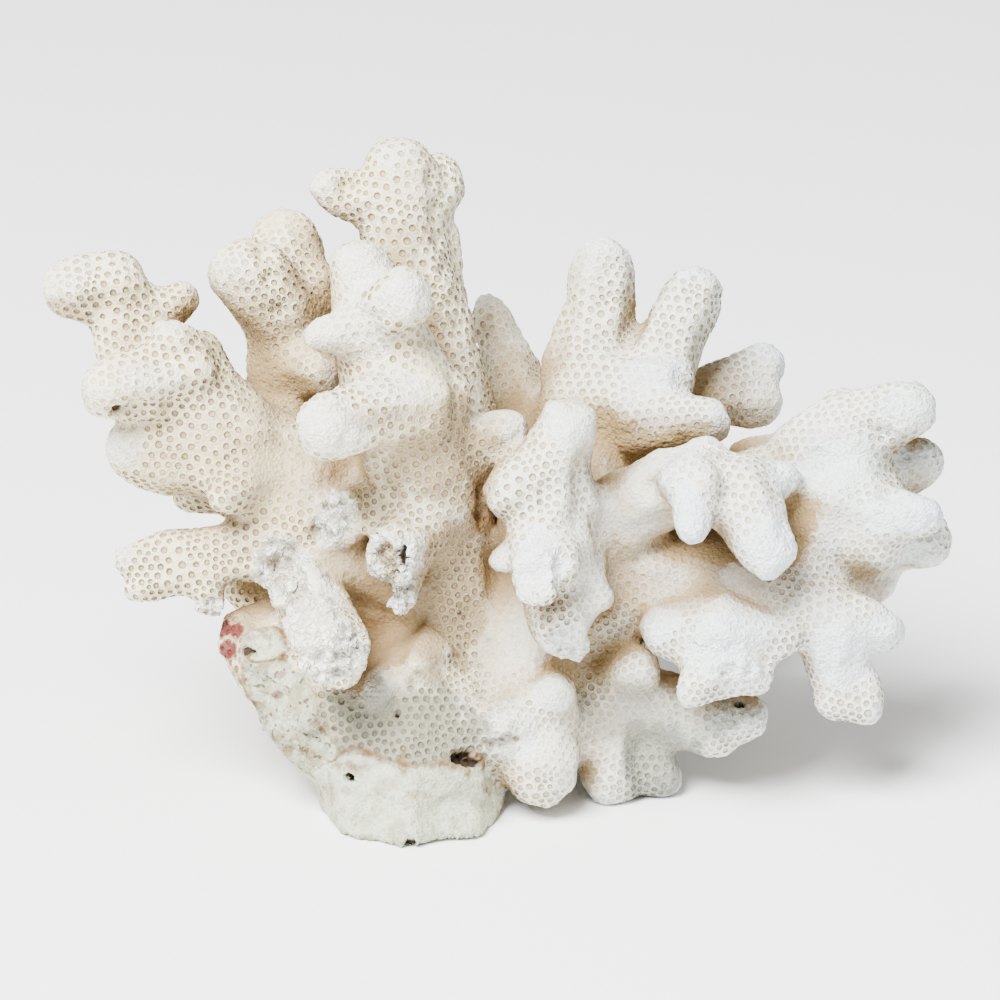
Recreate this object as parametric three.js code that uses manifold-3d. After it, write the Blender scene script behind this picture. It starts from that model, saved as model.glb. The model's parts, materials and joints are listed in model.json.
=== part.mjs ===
// A branching coral colony, bleached white, about 140 mm across, standing on the flat cut of its foot.
// Millimetres, +Z up, with the origin at the middle of the cut and -Y towards the front.
//
// Every limb is a list of stations [across, away, up, radius] along its middle, in the leaning view:
// the colony as it is seen from the front and LEAN_DEG above, with "away" pointing from the eye.
// standing() turns a station upright.
import * as THREE from "three";
import Module from "manifold-3d";

const wasm = await Module();
wasm.setup();

// Driving dimensions
const LEAN_DEG = 20;
const CUT_CENTRE = new THREE.Vector3(-13, 21, 0);
const FORK_GAP = 0.35;
const FLOOR_DEPTH = 60;
const FLOOR_WIDTH = 400;

// How finely the limbs are faceted
const FACET_WIDTH = 6.8;
const FEWEST_SIDES = 5;
const MOST_SIDES = 8;
const RING_STEP = 10;
const TIP_RING_DEG = 42;
const SMALL_TIP = 3.4;
const ROOT_DOME = 0.6;

// How much a limb's thickness wanders, as a share of its radius, and over what length
const SWELL = 0.05;
const SWELL_LENGTH = 9;

const foot = {
  pedestal: [[-13, 14, -8, 12.5], [-13.5, 13.5, 4, 13.3], [-14, 15, 14, 13], [-12, 18, 24, 12], [-10, 20, 30, 9]],
  pedestalBack: [[-11, 28, -2, 12], [-11, 28, 10, 13], [-9, 27, 24, 12]],
  crustLobe: [[-19, 15, 15, 10.5], [-28, 13.5, 23, 9.6], [-34.5, 12.5, 28.5, 6.8]],
  crustLedge: [[-34, 12, 31, 4.6], [-32.5, 11, 33.5, 3.3]],
  lowStub: [[-10, 16, 30, 6.5], [-15, 10, 28, 5], [-18.3, 6, 24.5, 3]],
  lowBump: [[-11, 10, 30, 4.5], [-12.3, 6.5, 29, 3]],
};

const leftLimb = {
  main: [[-13, 24, 28, 9.5], [-19, 22, 39, 9.5], [-26, 19, 50, 10], [-33, 16, 57, 10]],
  arch: [[-9, 16, 36, 5.5], [-17, 13, 41.5, 4.6], [-25, 11, 45, 5], [-32, 11, 49, 6.5]],
  brokenStub: [[-31.5, 12, 45.5, 4.6], [-31, 7, 40.5, 5], [-28, 2, 34.8, 5], [-25.5, -5, 30, 5.3]],
  lowArm: [[-24, 24, 34, 6], [-31, 18, 36.5, 4.2], [-38.5, 14, 35.5, 3.3], [-41.2, 13, 33.5, 2.5]],
  lowArmKnob: [[-38.5, 14, 34, 3], [-41.8, 12.5, 30.8, 2]],
  lowArmBack: [[-30, 24, 38, 5], [-40.5, 25, 39.3, 3]],
};

const leftUpperBranch = {
  body: [[-35, 16, 57, 9], [-43, 12, 62, 9.2], [-48, 10, 68, 8.6], [-48.5, 10, 73, 6.8]],
  leftLobe: [[-47, 11, 61, 7], [-55.5, 8, 61.5, 5.3]],
  frontBump: [[-38, 10, 57, 5], [-42, 4, 54.5, 3.3]],
  underBumps: [[-43, 17, 56, 5], [-49, 18, 53.9, 2.7]],
  sausage: [[-47, 6, 73.5, 5.5], [-53, 3, 71.8, 5], [-59.3, 1, 70.3, 4.7]],
  smallKnob: [[-48, 5, 74, 4], [-51.3, 2, 78.8, 2.9]],
  stem: [[-51, 13, 70, 6], [-57, 14, 76, 5.2], [-59.3, 14, 82, 5.6], [-59.8, 14, 87, 5.2]],
  head: [[-59, 13.5, 87, 5], [-65.8, 12, 86, 4.8]],
  sideFinger: [[-56, 15, 80.5, 5], [-51, 16, 82.3, 3.3], [-48.8, 16.5, 85, 2.5]],
};

const leftLowerBranch = {
  stem: [[-30, 12, 47, 6], [-38, 11, 45.5, 4.6], [-46, 10, 45, 4.2], [-52, 9, 45.5, 3.6], [-57, 8, 45.2, 2.3],
    [-60.3, 7.5, 44, 1.4]],
  fork: [[-46, 10, 43.5, 3.8], [-51.5, 9, 41.8, 3], [-56.3, 8, 39.3, 2]],
  drop: [[-47, 10, 42, 3.2], [-46.3, 10, 38.8, 3], [-43.8, 9, 36.7, 2]],
};

const paddleBranch = {
  stem: [[-32, 22, 58, 7], [-34.5, 22, 68, 5.2], [-33.5, 21, 76, 5.3], [-33, 20, 82, 6]],
  frontLobe: [[-33.5, 19, 82, 6], [-36.5, 17.5, 86.5, 6.3], [-38.8, 16.5, 88, 5.8]],
  backLobe: [[-32.5, 23, 84, 6.5], [-32.5, 25, 90, 6.2], [-33.3, 25.5, 93.2, 5.6]],
  rightBulge: [[-31, 22, 82, 5.5], [-29.5, 22, 85.5, 4.5]],
  knob: [[-32, 19, 74, 4.4], [-28.3, 15, 73.3, 3.4]],
};

const tallBranch = {
  stem: [[-6, 20, 58, 8], [-8, 20, 68, 7], [-10.3, 20, 78, 6.3], [-13.2, 20, 88, 6.3], [-15.3, 20, 96, 5.8],
    [-16, 20, 104.3, 5.8]],
  leftFinger: [[-18, 19, 99.5, 4.6], [-23, 18, 101, 3.9], [-25.7, 17.5, 102, 3.2]],
  rightKnob: [[-12, 22, 99, 4], [-9.8, 25, 103.5, 3.6]],
  backRidge: [[-10.5, 24, 96, 3.3], [-9.8, 24.5, 90, 3.3], [-8.5, 24, 82, 3.5]],
};

const frontBranch = {
  column: [[-8, 20, 27, 8], [-7.5, 18, 38, 6.5], [-8, 15, 48, 7], [-11, 11, 56, 9.3], [-14, 7, 66, 8.6],
    [-16.5, 4, 73, 7.8], [-18.5, 3, 80, 6.6], [-20.5, 3, 85.5, 5.6], [-21.2, 3, 88.7, 5]],
  rightFinger: [[-9, 11, 60, 7], [-4, 10, 62, 5], [0.4, 8, 64, 3.4]],
  frontSausage: [[-12, 2, 68, 6.5], [-19, -4, 67.5, 5.5], [-25.8, -9, 64.6, 4.9]],
  rightLobe: [[-13, 6, 70, 6], [-8.6, 5, 69.5, 4]],
  leftFinger: [[-19, 1, 79.5, 5], [-24.5, -1, 78.7, 3.2], [-28.2, -2, 78.7, 2.2]],
  rightKnob: [[-18.5, 0, 82, 5], [-15.4, -5, 84.2, 4.6]],
  middleStub: [[-11, 12, 52, 5], [-13.5, 6, 48.5, 5], [-16, 0, 45.2, 4.4]],
  stubSpike: [[-14, 5, 44.5, 3.5], [-14.5, 2, 39.5, 2.2], [-15.3, 1, 36.5, 1.3]],
  smallStub: [[-18, 12, 53, 4.5], [-22.5, 7, 51.3, 3.4], [-25.2, 4, 51.8, 2.8]],
  smallStubDrop: [[-22.5, 7, 51, 3.2], [-23.6, 5, 47.9, 2.4]],
};

const rightTrunk = {
  main: [[-4, 24, 22, 10], [4, 21, 31, 10], [10, 21, 40, 10], [12, 25, 55, 9]],
};

const frontRightBranch = {
  stem: [[10, 18, 44, 8], [8, 8, 50, 8], [8, 3, 56, 7], [9.5, 1, 61, 5.3], [10.2, 0, 64, 4.5]],
  topKnob: [[10.5, -1, 64.5, 3.8], [12.8, -1, 66, 2.4]],
  leftLobe: [[5, 4, 54, 6.5], [3, 2, 55, 5.3]],
  frontMass: [[8, 2, 48, 7], [6.5, -5, 47, 6], [5.6, -8, 44, 4.2], [5.4, -9, 41.4, 3.4]],
  smallKnob: [[2, 1, 45, 3], [-0.8, 0, 44, 1.8]],
  rightLobe: [[8, 2, 48.5, 6], [11.5, 0, 47.3, 3.2]],
  lowerLobe: [[10, 8, 44, 7], [9.5, 4, 39, 6.5], [9.3, 2, 34.3, 4.8]],
  lowerTip: [[9.5, 3, 34, 4], [12, 2, 30.5, 2]],
  rightKnob: [[12, 4, 40, 4.5], [16.2, 2, 38, 2.3]],
};

const upperRightBranch = {
  body: [[10, 26, 56, 8], [10, 28, 64, 7.5], [16, 28, 68, 7.3], [21, 26, 69, 7]],
  tallFinger: [[13, 30, 71, 6.3], [15, 31, 80, 5.8], [16.2, 31, 89.3, 4.8]],
  rightFinger: [[24, 29, 73, 5.5], [27.5, 30, 79, 4.3], [30.3, 30, 85.5, 4]],
  crest: [[16, 26, 72, 5.5], [22.5, 25, 75.3, 4.8], [25, 24, 72, 4.8]],
  sideFinger: [[21, 23, 66, 6], [28, 19, 66, 4.2], [33.2, 16, 65.8, 3]],
  backFinger: [[6, 34, 58, 7], [4, 38, 66, 5.8], [2, 42, 74, 3.9], [0, 44, 80, 3.2], [-1.8, 45, 83, 3]],
  backArm: [[20, 34, 60, 6], [29, 39, 67, 5], [36, 42, 71.5, 4.6], [41, 43, 74.5, 3.8]],
  backArmLow: [[35, 41, 69.5, 4.2], [40.7, 41, 68.8, 3.5]],
};

const middleRightBranch = {
  stem: [[12, 18, 46, 8], [18, 12, 51, 6], [25, 8, 55, 5.7], [31, 6, 57, 5.8], [36.5, 5, 54.5, 6.2]],
  dropFinger: [[30.5, 2, 56.5, 5], [29.8, -3, 55.5, 4.3], [29.6, -5, 51, 3], [29.2, -5, 48.6, 1.9]],
  lowerLobe: [[37, 4, 53.5, 6], [39, 1, 48.5, 5.6], [41, -1, 45.8, 4.4]],
  rightFinger: [[38, 6, 55, 5], [42, 7, 56.3, 3.8], [44.5, 7, 57.2, 2.8]],
  topKnob: [[30, 7, 58, 4.5], [31.5, 7, 60, 3.2]],
};

const farRightBranch = {
  stem: [[16, 27, 46, 7], [28, 26, 50, 6.5], [40, 22, 53, 7.5], [49, 17, 55, 9], [54, 15, 52, 9]],
  top: [[48, 18, 58, 7.5], [53, 16, 63, 7], [58, 14, 66, 5.5], [62.3, 12, 67.4, 4.7]],
  topBack: [[52, 22, 66, 4.5], [58, 22, 68, 3.5], [63, 20, 69, 3.4]],
  backKnob: [[58, 22, 58, 6], [64.3, 22, 59.4, 4.4]],
  frontFinger: [[54, 12, 51.5, 6], [60, 9, 51.5, 4.4], [64.7, 7, 51, 3.4]],
  lowKnob: [[58, 18, 48, 6], [65.7, 17, 47.3, 4.4]],
  belly: [[52, 15, 50, 8], [58, 13, 47.3, 5.6]],
  backArm: [[46, 24, 60, 5], [42, 28, 61.3, 3.6], [38, 31, 60.7, 2.6]],
};

const lowerRightBranch = {
  stem: [[8, 22, 32, 8.5], [17, 19, 38, 8], [26, 16, 41, 7.2], [36, 14, 41, 6.8], [45, 13, 38.5, 7.2],
    [52, 12, 34, 7.3], [53.5, 12, 28, 5.8], [52.5, 12, 23.8, 4]],
  rightKnob: [[54, 11, 34.5, 5], [58.8, 10, 33.4, 3.4]],
  bottomKnob: [[55, 12, 25.5, 4], [56.4, 11.5, 22, 3]],
  backTip: [[52, 18, 40, 4.5], [59.8, 19, 40.6, 2.3]],
};

const lowFrontBranch = {
  root: [[28, 18, 38, 7], [34, 8, 33, 7]],
  bar: [[23.6, 8, 34, 3.2], [30, 6, 33, 5.5], [36, 5, 32.3, 6.3], [43.3, 6, 32.4, 3.5]],
  lip: [[34, 5, 29, 5.5], [31.5, 3, 26, 3.8], [30, 2.5, 24.5, 2.8]],
  lipRight: [[35, 4, 27.5, 4.5], [38.5, 4, 26.8, 3.2]],
};

const bottomFrontBranch = {
  stem: [[-1, 24, 22, 9], [4.5, 16, 20, 8.8], [5.5, 11, 15.5, 7.6], [6.3, 10.5, 12, 6.2]],
  leftLobe: [[4, 13, 18.5, 6.5], [0.6, 9.5, 17.8, 5]],
  topKnob: [[7, 12, 22, 5], [8.6, 8, 24.5, 3]],
  middleToe: [[11, 22, 25, 8], [15.5, 19.5, 18.5, 6.5], [16.8, 18.5, 12.5, 5], [17, 18, 10, 3.6]],
  toeTip: [[17.5, 18, 11, 3.6], [20, 17.8, 9.3, 2.6]],
  backToe: [[17, 25, 21, 6], [22.5, 22.5, 15.5, 4.6], [24.7, 20, 10.3, 3.3]],
};

const bottomRightBranch = {
  stem: [[10, 24, 27, 8.5], [19, 21, 23, 6.8], [28, 18.5, 20, 5.4], [33, 17, 18.8, 4.8], [37.6, 16, 20, 3.8]],
  lowTip: [[32, 17, 18, 4], [34.2, 16.5, 16, 2.5]],
  knob: [[18, 17, 26, 5], [21.8, 11, 27.7, 2.7]],
};

const rearLeftBranch = {
  stem: [[-14, 34, 34, 8], [-24, 47, 42, 7], [-34, 60, 50, 5]],
  inner: [[-25, 50, 44, 6], [-23, 60, 52, 4.6]],
  lower: [[-24, 48, 40, 5.5], [-31, 60, 40, 4.6]],
};

const rearUpperBranch = {
  stem: [[-9, 30, 50, 8], [-13, 45, 62, 7], [-20, 56, 74, 5]],
  right: [[-13, 48, 64, 6], [-9, 58, 71, 4.8]],
  left: [[-15, 46, 62, 6], [-25, 52, 65, 4.4]],
};

const rearCentreBranch = {
  stem: [[4, 32, 44, 8], [5, 48, 51, 7.5], [1, 62, 60, 5]],
  right: [[5, 52, 53, 6], [12, 61, 59, 4.8]],
  lower: [[5, 48, 50, 6], [8, 64, 49, 4.6]],
};

const rearRightBranch = {
  stem: [[16, 30, 38, 8], [27, 45, 44, 7], [40, 55, 52, 5]],
  lower: [[27, 44, 44, 6], [34, 58, 43, 4.8]],
  upper: [[26, 44, 46, 6], [27, 56, 54, 4.6]],
};

const rearFootBranch = {
  stem: [[-4, 32, 22, 9], [6, 46, 26, 7.5], [16, 57, 26, 5.2]],
  left: [[0, 42, 26, 6.5], [-6, 56, 30, 4.8]],
  right: [[8, 46, 27, 6], [20, 48, 32, 4.6]],
};

// In growing order: a limb is cut away where it leaves one that stands before it in this list.
const coralNodes = {
  foot,
  right_trunk: rightTrunk,
  left_limb: leftLimb,
  front_branch: frontBranch,
  left_upper_branch: leftUpperBranch,
  left_lower_branch: leftLowerBranch,
  paddle_branch: paddleBranch,
  tall_branch: tallBranch,
  upper_right_branch: upperRightBranch,
  lower_right_branch: lowerRightBranch,
  middle_right_branch: middleRightBranch,
  front_right_branch: frontRightBranch,
  far_right_branch: farRightBranch,
  low_front_branch: lowFrontBranch,
  bottom_front_branch: bottomFrontBranch,
  bottom_right_branch: bottomRightBranch,
  rear_left_branch: rearLeftBranch,
  rear_upper_branch: rearUpperBranch,
  rear_centre_branch: rearCentreBranch,
  rear_right_branch: rearRightBranch,
  rear_foot_branch: rearFootBranch,
};

/** A station's centre in the part's own frame, from the leaning view. */
function standing([across, away, up]) {
  const lean = THREE.MathUtils.degToRad(-LEAN_DEG);
  return new THREE.Vector3(across, away, up).applyAxisAngle(new THREE.Vector3(1, 0, 0), lean).sub(CUT_CENTRE);
}

/** How much thicker or thinner a limb is at a point, as living coral wanders. */
function swell(point) {
  const { x, y, z } = point.clone().multiplyScalar((2 * Math.PI) / SWELL_LENGTH);
  return 1 + (SWELL / 3) * (Math.sin(x + 0.6 * z) + Math.sin(y - 0.8 * x + 2) + Math.sin(z + 0.7 * y + 4));
}

/** A closed tube with domed ends through a limb's stations, each radius larger by grow. */
function tubeSolid(stations, grow = 0) {
  const path = new THREE.CatmullRomCurve3(stations.map(standing));
  const radii = new THREE.SplineCurve(stations.map((station, i) => new THREE.Vector2(i, station[3])));
  const widest = Math.max(...stations.map((station) => station[3]));
  const sides = THREE.MathUtils.clamp(Math.round((2 * Math.PI * widest) / FACET_WIDTH), FEWEST_SIDES, MOST_SIDES);
  const fullness = Math.sqrt((2 * Math.PI) / sides / Math.sin((2 * Math.PI) / sides));

  // One ring is its middle, its radius and the way the limb runs there.
  const steps = Math.max(1, Math.round(path.getLength() / RING_STEP));
  const rings = [];
  for (let step = 0; step <= steps; step++) {
    const t = path.getUtoTmapping(step / steps);
    const middle = path.getPoint(t);
    const radius = (radii.getPoint(t).y * swell(middle) + grow) * fullness;
    rings.push({ middle, radius, along: path.getTangent(t) });
  }
  const root = rings[0];
  const tip = rings[steps];
  if (tip.radius > SMALL_TIP) {
    const domeAngle = THREE.MathUtils.degToRad(TIP_RING_DEG);
    const domeMiddle = tip.middle.clone().addScaledVector(tip.along, tip.radius * Math.sin(domeAngle));
    rings.push({ middle: domeMiddle, radius: tip.radius * Math.cos(domeAngle), along: tip.along });
  }

  const points = [root.middle.clone().addScaledVector(root.along, -root.radius * ROOT_DOME)];
  const across = new THREE.Vector3(0, 0, 1);
  if (Math.abs(root.along.z) > 0.9) across.set(1, 0, 0);
  for (const ring of rings) {
    across.projectOnPlane(ring.along).normalize();
    for (let side = 0; side < sides; side++) {
      const spoke = across.clone().applyAxisAngle(ring.along, (2 * Math.PI * side) / sides);
      points.push(ring.middle.clone().addScaledVector(spoke, ring.radius));
    }
  }
  points.push(tip.middle.clone().addScaledVector(tip.along, tip.radius));

  const triangles = [];
  const corner = (ring, side) => 1 + ring * sides + (side % sides);
  for (let side = 0; side < sides; side++) {
    triangles.push(0, corner(0, side + 1), corner(0, side));
    for (let ring = 0; ring < rings.length - 1; ring++) {
      const [a, b] = [corner(ring, side), corner(ring, side + 1)];
      const [c, d] = [corner(ring + 1, side), corner(ring + 1, side + 1)];
      triangles.push(a, b, d, a, d, c);
    }
    triangles.push(points.length - 1, corner(rings.length - 1, side), corner(rings.length - 1, side + 1));
  }
  return solidFrom(new THREE.BufferGeometry().setFromPoints(points).setIndex(triangles));
}

/** The manifold solid of a closed geometry whose corners are shared. */
function solidFrom(geometry) {
  const vertProperties = new Float32Array(geometry.getAttribute("position").array);
  const triVerts = new Uint32Array(geometry.index.array);
  return new wasm.Manifold(new wasm.Mesh({ numProp: 3, vertProperties, triVerts }));
}

/** Everything below the surface that the colony stands on. */
function belowFloor() {
  const corners = [];
  for (const z of [-FLOOR_DEPTH, 0])
    for (const [x, y] of [[-1, -1], [1, -1], [1, 1], [-1, 1]])
      corners.push(new THREE.Vector3((x * FLOOR_WIDTH) / 2, (y * FLOOR_WIDTH) / 2, z));
  const faces = [0, 2, 1, 0, 3, 2, 4, 5, 6, 4, 6, 7];
  for (let i = 0; i < 4; i++) {
    const j = (i + 1) % 4;
    faces.push(i, j, j + 4, i, j + 4, i + 4);
  }
  return solidFrom(new THREE.BufferGeometry().setFromPoints(corners).setIndex(faces));
}

/** All limbs of one node joined in one solid. */
function joined(limbs, grow = 0) {
  return Object.values(limbs).map((stations) => tubeSolid(stations, grow)).reduce((all, limb) => all.add(limb));
}

/** The solid without the crumbs that a cut can leave beside it. */
function largestBody(solid) {
  return solid.decompose().reduce((best, body) => (body.volume() > best.volume() ? body : best));
}

/** The three.js geometry of a solid. */
function geometryOf(solid) {
  const { numProp, numVert, vertProperties, triVerts } = solid.getMesh();
  const points = [];
  for (let i = 0; i < numVert; i++) points.push(new THREE.Vector3().fromArray(vertProperties, i * numProp));
  const geometry = new THREE.BufferGeometry().setFromPoints(points).setIndex(Array.from(triVerts));
  geometry.computeVertexNormals();
  return geometry;
}

/** The dry skeleton: matt, cream white, a little warmer in the foot. */
function skeletonMaterial(name) {
  const color = name === "foot" ? 0xd9d3c0 : 0xeae0d0;
  return new THREE.MeshStandardMaterial({ color, roughness: 0.9, metalness: 0 });
}

const coral = new THREE.Group();
const floor = belowFloor();
const grown = [];
for (const [name, limbs] of Object.entries(coralNodes)) {
  let solid = joined(limbs).subtract(floor);
  for (const earlier of grown) solid = solid.subtract(earlier);
  grown.push(joined(limbs, FORK_GAP));
  solid = largestBody(solid);
  const mesh = new THREE.Mesh(geometryOf(solid), skeletonMaterial(name));
  mesh.name = name;
  coral.add(mesh);
}

export default coral;
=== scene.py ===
"""The looks of a dry branching coral colony: its skin, its corallites, its crusts and its breaks.

Lengths are metres in the colony's own frame, +Z up and -Y towards the front. Places on the front are
given in the leaning view, in millimetres: across to the right and up, as the colony is seen from the
front and a little above.
"""

import json
import logging
import math
from collections.abc import Iterator
from contextlib import contextmanager
from dataclasses import dataclass, field
from enum import Enum

import bmesh
import bpy
import numpy as np
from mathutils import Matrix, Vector
from mathutils.bvhtree import BVHTree

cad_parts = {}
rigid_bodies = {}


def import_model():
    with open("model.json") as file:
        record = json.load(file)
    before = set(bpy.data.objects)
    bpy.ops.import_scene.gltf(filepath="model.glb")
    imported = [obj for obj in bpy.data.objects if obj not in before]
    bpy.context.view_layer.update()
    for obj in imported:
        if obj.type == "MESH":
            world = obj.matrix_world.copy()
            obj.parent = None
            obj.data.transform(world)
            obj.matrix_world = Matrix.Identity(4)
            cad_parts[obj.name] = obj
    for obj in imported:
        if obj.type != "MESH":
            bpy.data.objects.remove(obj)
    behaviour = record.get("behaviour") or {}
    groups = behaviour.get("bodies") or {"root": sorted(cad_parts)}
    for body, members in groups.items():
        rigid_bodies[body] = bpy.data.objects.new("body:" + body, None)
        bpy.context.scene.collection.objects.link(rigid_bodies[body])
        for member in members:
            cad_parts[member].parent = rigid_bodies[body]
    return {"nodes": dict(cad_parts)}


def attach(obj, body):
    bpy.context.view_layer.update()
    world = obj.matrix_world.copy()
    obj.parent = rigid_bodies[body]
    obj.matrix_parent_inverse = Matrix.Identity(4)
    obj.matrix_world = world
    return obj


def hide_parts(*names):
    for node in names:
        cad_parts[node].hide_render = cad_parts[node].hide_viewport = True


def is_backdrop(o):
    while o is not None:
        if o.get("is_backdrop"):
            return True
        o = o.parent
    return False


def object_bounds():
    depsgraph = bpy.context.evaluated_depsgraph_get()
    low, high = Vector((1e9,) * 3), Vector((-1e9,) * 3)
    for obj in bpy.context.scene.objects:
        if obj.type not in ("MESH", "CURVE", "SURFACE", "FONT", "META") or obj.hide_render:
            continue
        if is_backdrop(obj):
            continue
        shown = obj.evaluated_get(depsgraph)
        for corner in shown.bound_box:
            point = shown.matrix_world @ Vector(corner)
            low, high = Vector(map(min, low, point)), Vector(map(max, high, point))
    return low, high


MM = 0.001
# Vertices that are nearer to each other than this are one.
MERGE = 0.001 * MM
# The height of an even triangle whose side is one.
TRIANGLE_HEIGHT = 0.866
NOISE_TABLE = 4093
NOISE_KEYS = (73856093, 19349663, 83492791)
log = logging.getLogger("coral")
Layers = tuple[tuple[float, float], ...]
Colour = tuple[float, float, float, float]


@dataclass(frozen=True)
class LeaningView:
    """How the colony is seen from the front, and the camera that sees it so.

    Attributes:
        lean: how far above level the eye is, in degrees.
        cut_centre: the middle of the foot's cut in the leaning view's upright frame, in millimetres.
        wide: how much of the colony's own plane the picture shows, in millimetres.
        middle: the picture's middle, across and up in the leaning view, in millimetres.
        depth: how far from the picture's plane the colony's middle is, in millimetres.
        before: how far before the colony a look at it starts, in millimetres.
        inside: a depth that lies within the colony, in millimetres.
        lens: focal length, in millimetres.
        sensor: the sensor's width, in millimetres.
        clips: the nearest and farthest that the camera sees, as shares of its distance.
    """

    lean: float = 20.0
    cut_centre: tuple[float, float, float] = (-13.0, 21.0, 0.0)
    wide: float = 155.0
    middle: tuple[float, float] = (0.0, 53.475)
    depth: float = 14.0
    before: float = 200.0
    inside: float = 10.0
    lens: float = 250.0
    sensor: float = 36.0
    clips: tuple[float, float] = (0.05, 20.0)

    def upright(self, across: float, away: float, up: float) -> Vector:
        """Turns a place in the leaning view into the colony's own frame.

        Args:
            across: millimetres to the right.
            away: millimetres from the eye.
            up: millimetres up the picture.

        Returns:
            The place in metres.
        """
        lean = math.radians(self.lean)
        y = away * math.cos(lean) + up * math.sin(lean)
        z = up * math.cos(lean) - away * math.sin(lean)
        return (Vector((across, y, z)) - Vector(self.cut_centre)) * MM

    def leaning(self, places: np.ndarray) -> np.ndarray:
        """Turns places in the colony's own frame into the leaning view.

        Args:
            places: one row each, in metres.

        Returns:
            Across, away and up of each place, in millimetres.
        """
        lean = math.radians(self.lean)
        x, y, z = (places / MM + np.array(self.cut_centre)).T
        away = y * math.cos(lean) - z * math.sin(lean)
        up = y * math.sin(lean) + z * math.cos(lean)
        return np.stack([x, away, up], 1)

    def sight(self) -> Vector:
        """Gives the way the eye looks, as a unit vector."""
        return (self.upright(0, 1, 0) - self.upright(0, 0, 0)).normalized()

    def seen(self, tree: BVHTree, across: float, up: float) -> tuple[Vector, Vector]:
        """Finds what the eye meets first at a place in the picture.

        Args:
            tree: the surface to look at.
            across: millimetres to the right.
            up: millimetres up the picture.

        Returns:
            The place and the surface's normal there.
        """
        start = self.upright(across, -self.before, up)
        place, normal, _, _ = tree.ray_cast(start, self.sight())
        if place is None:
            place, normal, _, _ = tree.find_nearest(self.upright(across, self.inside, up))
        return place, normal

    def make_camera(self) -> bpy.types.Object:
        """Sets up the camera that sees the colony as the leaning view does.

        Returns:
            The camera.
        """
        data = bpy.data.cameras.new("studio_camera")
        data.lens = self.lens
        data.sensor_width = self.sensor
        camera = bpy.data.objects.new("studio_camera", data)
        bpy.context.collection.objects.link(camera)
        target = self.upright(self.middle[0], self.depth, self.middle[1])
        distance = self.wide * MM * self.lens / self.sensor
        camera.location = target - self.sight() * distance
        camera.rotation_mode = "QUATERNION"
        camera.rotation_quaternion = self.sight().to_track_quat("-Z", "Y")
        data.clip_start = distance * self.clips[0]
        data.clip_end = distance * self.clips[1]
        bpy.context.scene.camera = camera
        return camera


VIEW = LeaningView()


def select_only(*objects: bpy.types.Object) -> None:
    """Selects these objects and no others, the last one active."""
    bpy.ops.object.select_all(action="DESELECT")
    for each in objects:
        each.select_set(True)
    bpy.context.view_layer.objects.active = objects[-1]


@contextmanager
def edit_mode() -> Iterator[None]:
    """Works on the active object in edit mode, and leaves it in object mode."""
    bpy.ops.object.mode_set(mode="EDIT")
    yield
    bpy.ops.object.mode_set(mode="OBJECT")


def apply_modifier(item: bpy.types.Object, kind: str, **settings: str | float) -> None:
    """Gives an object a modifier and applies it.

    Args:
        item: the object.
        kind: the modifier's type.
        settings: the modifier's settings.
    """
    modifier = item.modifiers.new(kind.lower(), kind)
    for name, value in settings.items():
        setattr(modifier, name, value)
    select_only(item)
    bpy.ops.object.modifier_apply(modifier=modifier.name)


def read_values(
    parts: bpy.types.bpy_prop_collection,
    name: str,
    kind: type = float,
    width: int = 1,
) -> np.ndarray:
    """Reads a value of each of a mesh's parts.

    Args:
        parts: the parts, such as its vertices.
        name: the value's name.
        kind: the type of its numbers.
        width: how many numbers it has.

    Returns:
        One number or one row for each part.
    """
    values = np.empty(len(parts) * width, dtype=kind)
    parts.foreach_get(name, values)
    return values if width == 1 else values.reshape(-1, width)


def coordinates(mesh: bpy.types.Mesh) -> np.ndarray:
    """Gives a mesh's vertex places, one row each."""
    return read_values(mesh.vertices, "co", width=3)


def move_to(mesh: bpy.types.Mesh, places: np.ndarray) -> None:
    """Moves a mesh's vertices to these places."""
    mesh.vertices.foreach_set("co", places.ravel())
    mesh.update()


def vertex_normals(mesh: bpy.types.Mesh) -> np.ndarray:
    """Gives a mesh's vertex normals, one row each."""
    return read_values(mesh.vertex_normals, "vector", width=3)


def edge_ends(mesh: bpy.types.Mesh) -> np.ndarray:
    """Gives the two vertices of each of a mesh's edges, one row each."""
    return read_values(mesh.edges, "vertices", np.int64, 2)


def dots(first: np.ndarray, second: np.ndarray) -> np.ndarray:
    """Multiplies vectors row by row, one number for each pair."""
    return np.einsum("ij,ij->i", first, second)


def unit(vectors: np.ndarray) -> np.ndarray:
    """Brings each row to the length one."""
    return vectors / np.linalg.norm(vectors, axis=1)[:, None]


def averaged(values: np.ndarray, ends: np.ndarray, rounds: int, share: float = 0.5) -> np.ndarray:
    """Blends each vertex's value with its neighbours' average, again and again.

    Args:
        values: one row for each vertex.
        ends: the mesh's edges.
        rounds: how often.
        share: how much of the neighbours' average is taken each time.

    Returns:
        The smoothed values.
    """
    count = len(values)
    both = np.concatenate([ends[:, 0], ends[:, 1]])
    other = np.concatenate([ends[:, 1], ends[:, 0]])
    neighbours = np.maximum(np.bincount(both, minlength=count), 1)[:, None]
    flat = values.reshape(count, -1).copy()
    for _ in range(rounds):
        gathered = flat[other]
        sums = np.stack([np.bincount(both, column, minlength=count) for column in gathered.T], 1)
        flat += share * (sums / neighbours - flat)
    return flat.reshape(values.shape)


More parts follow.
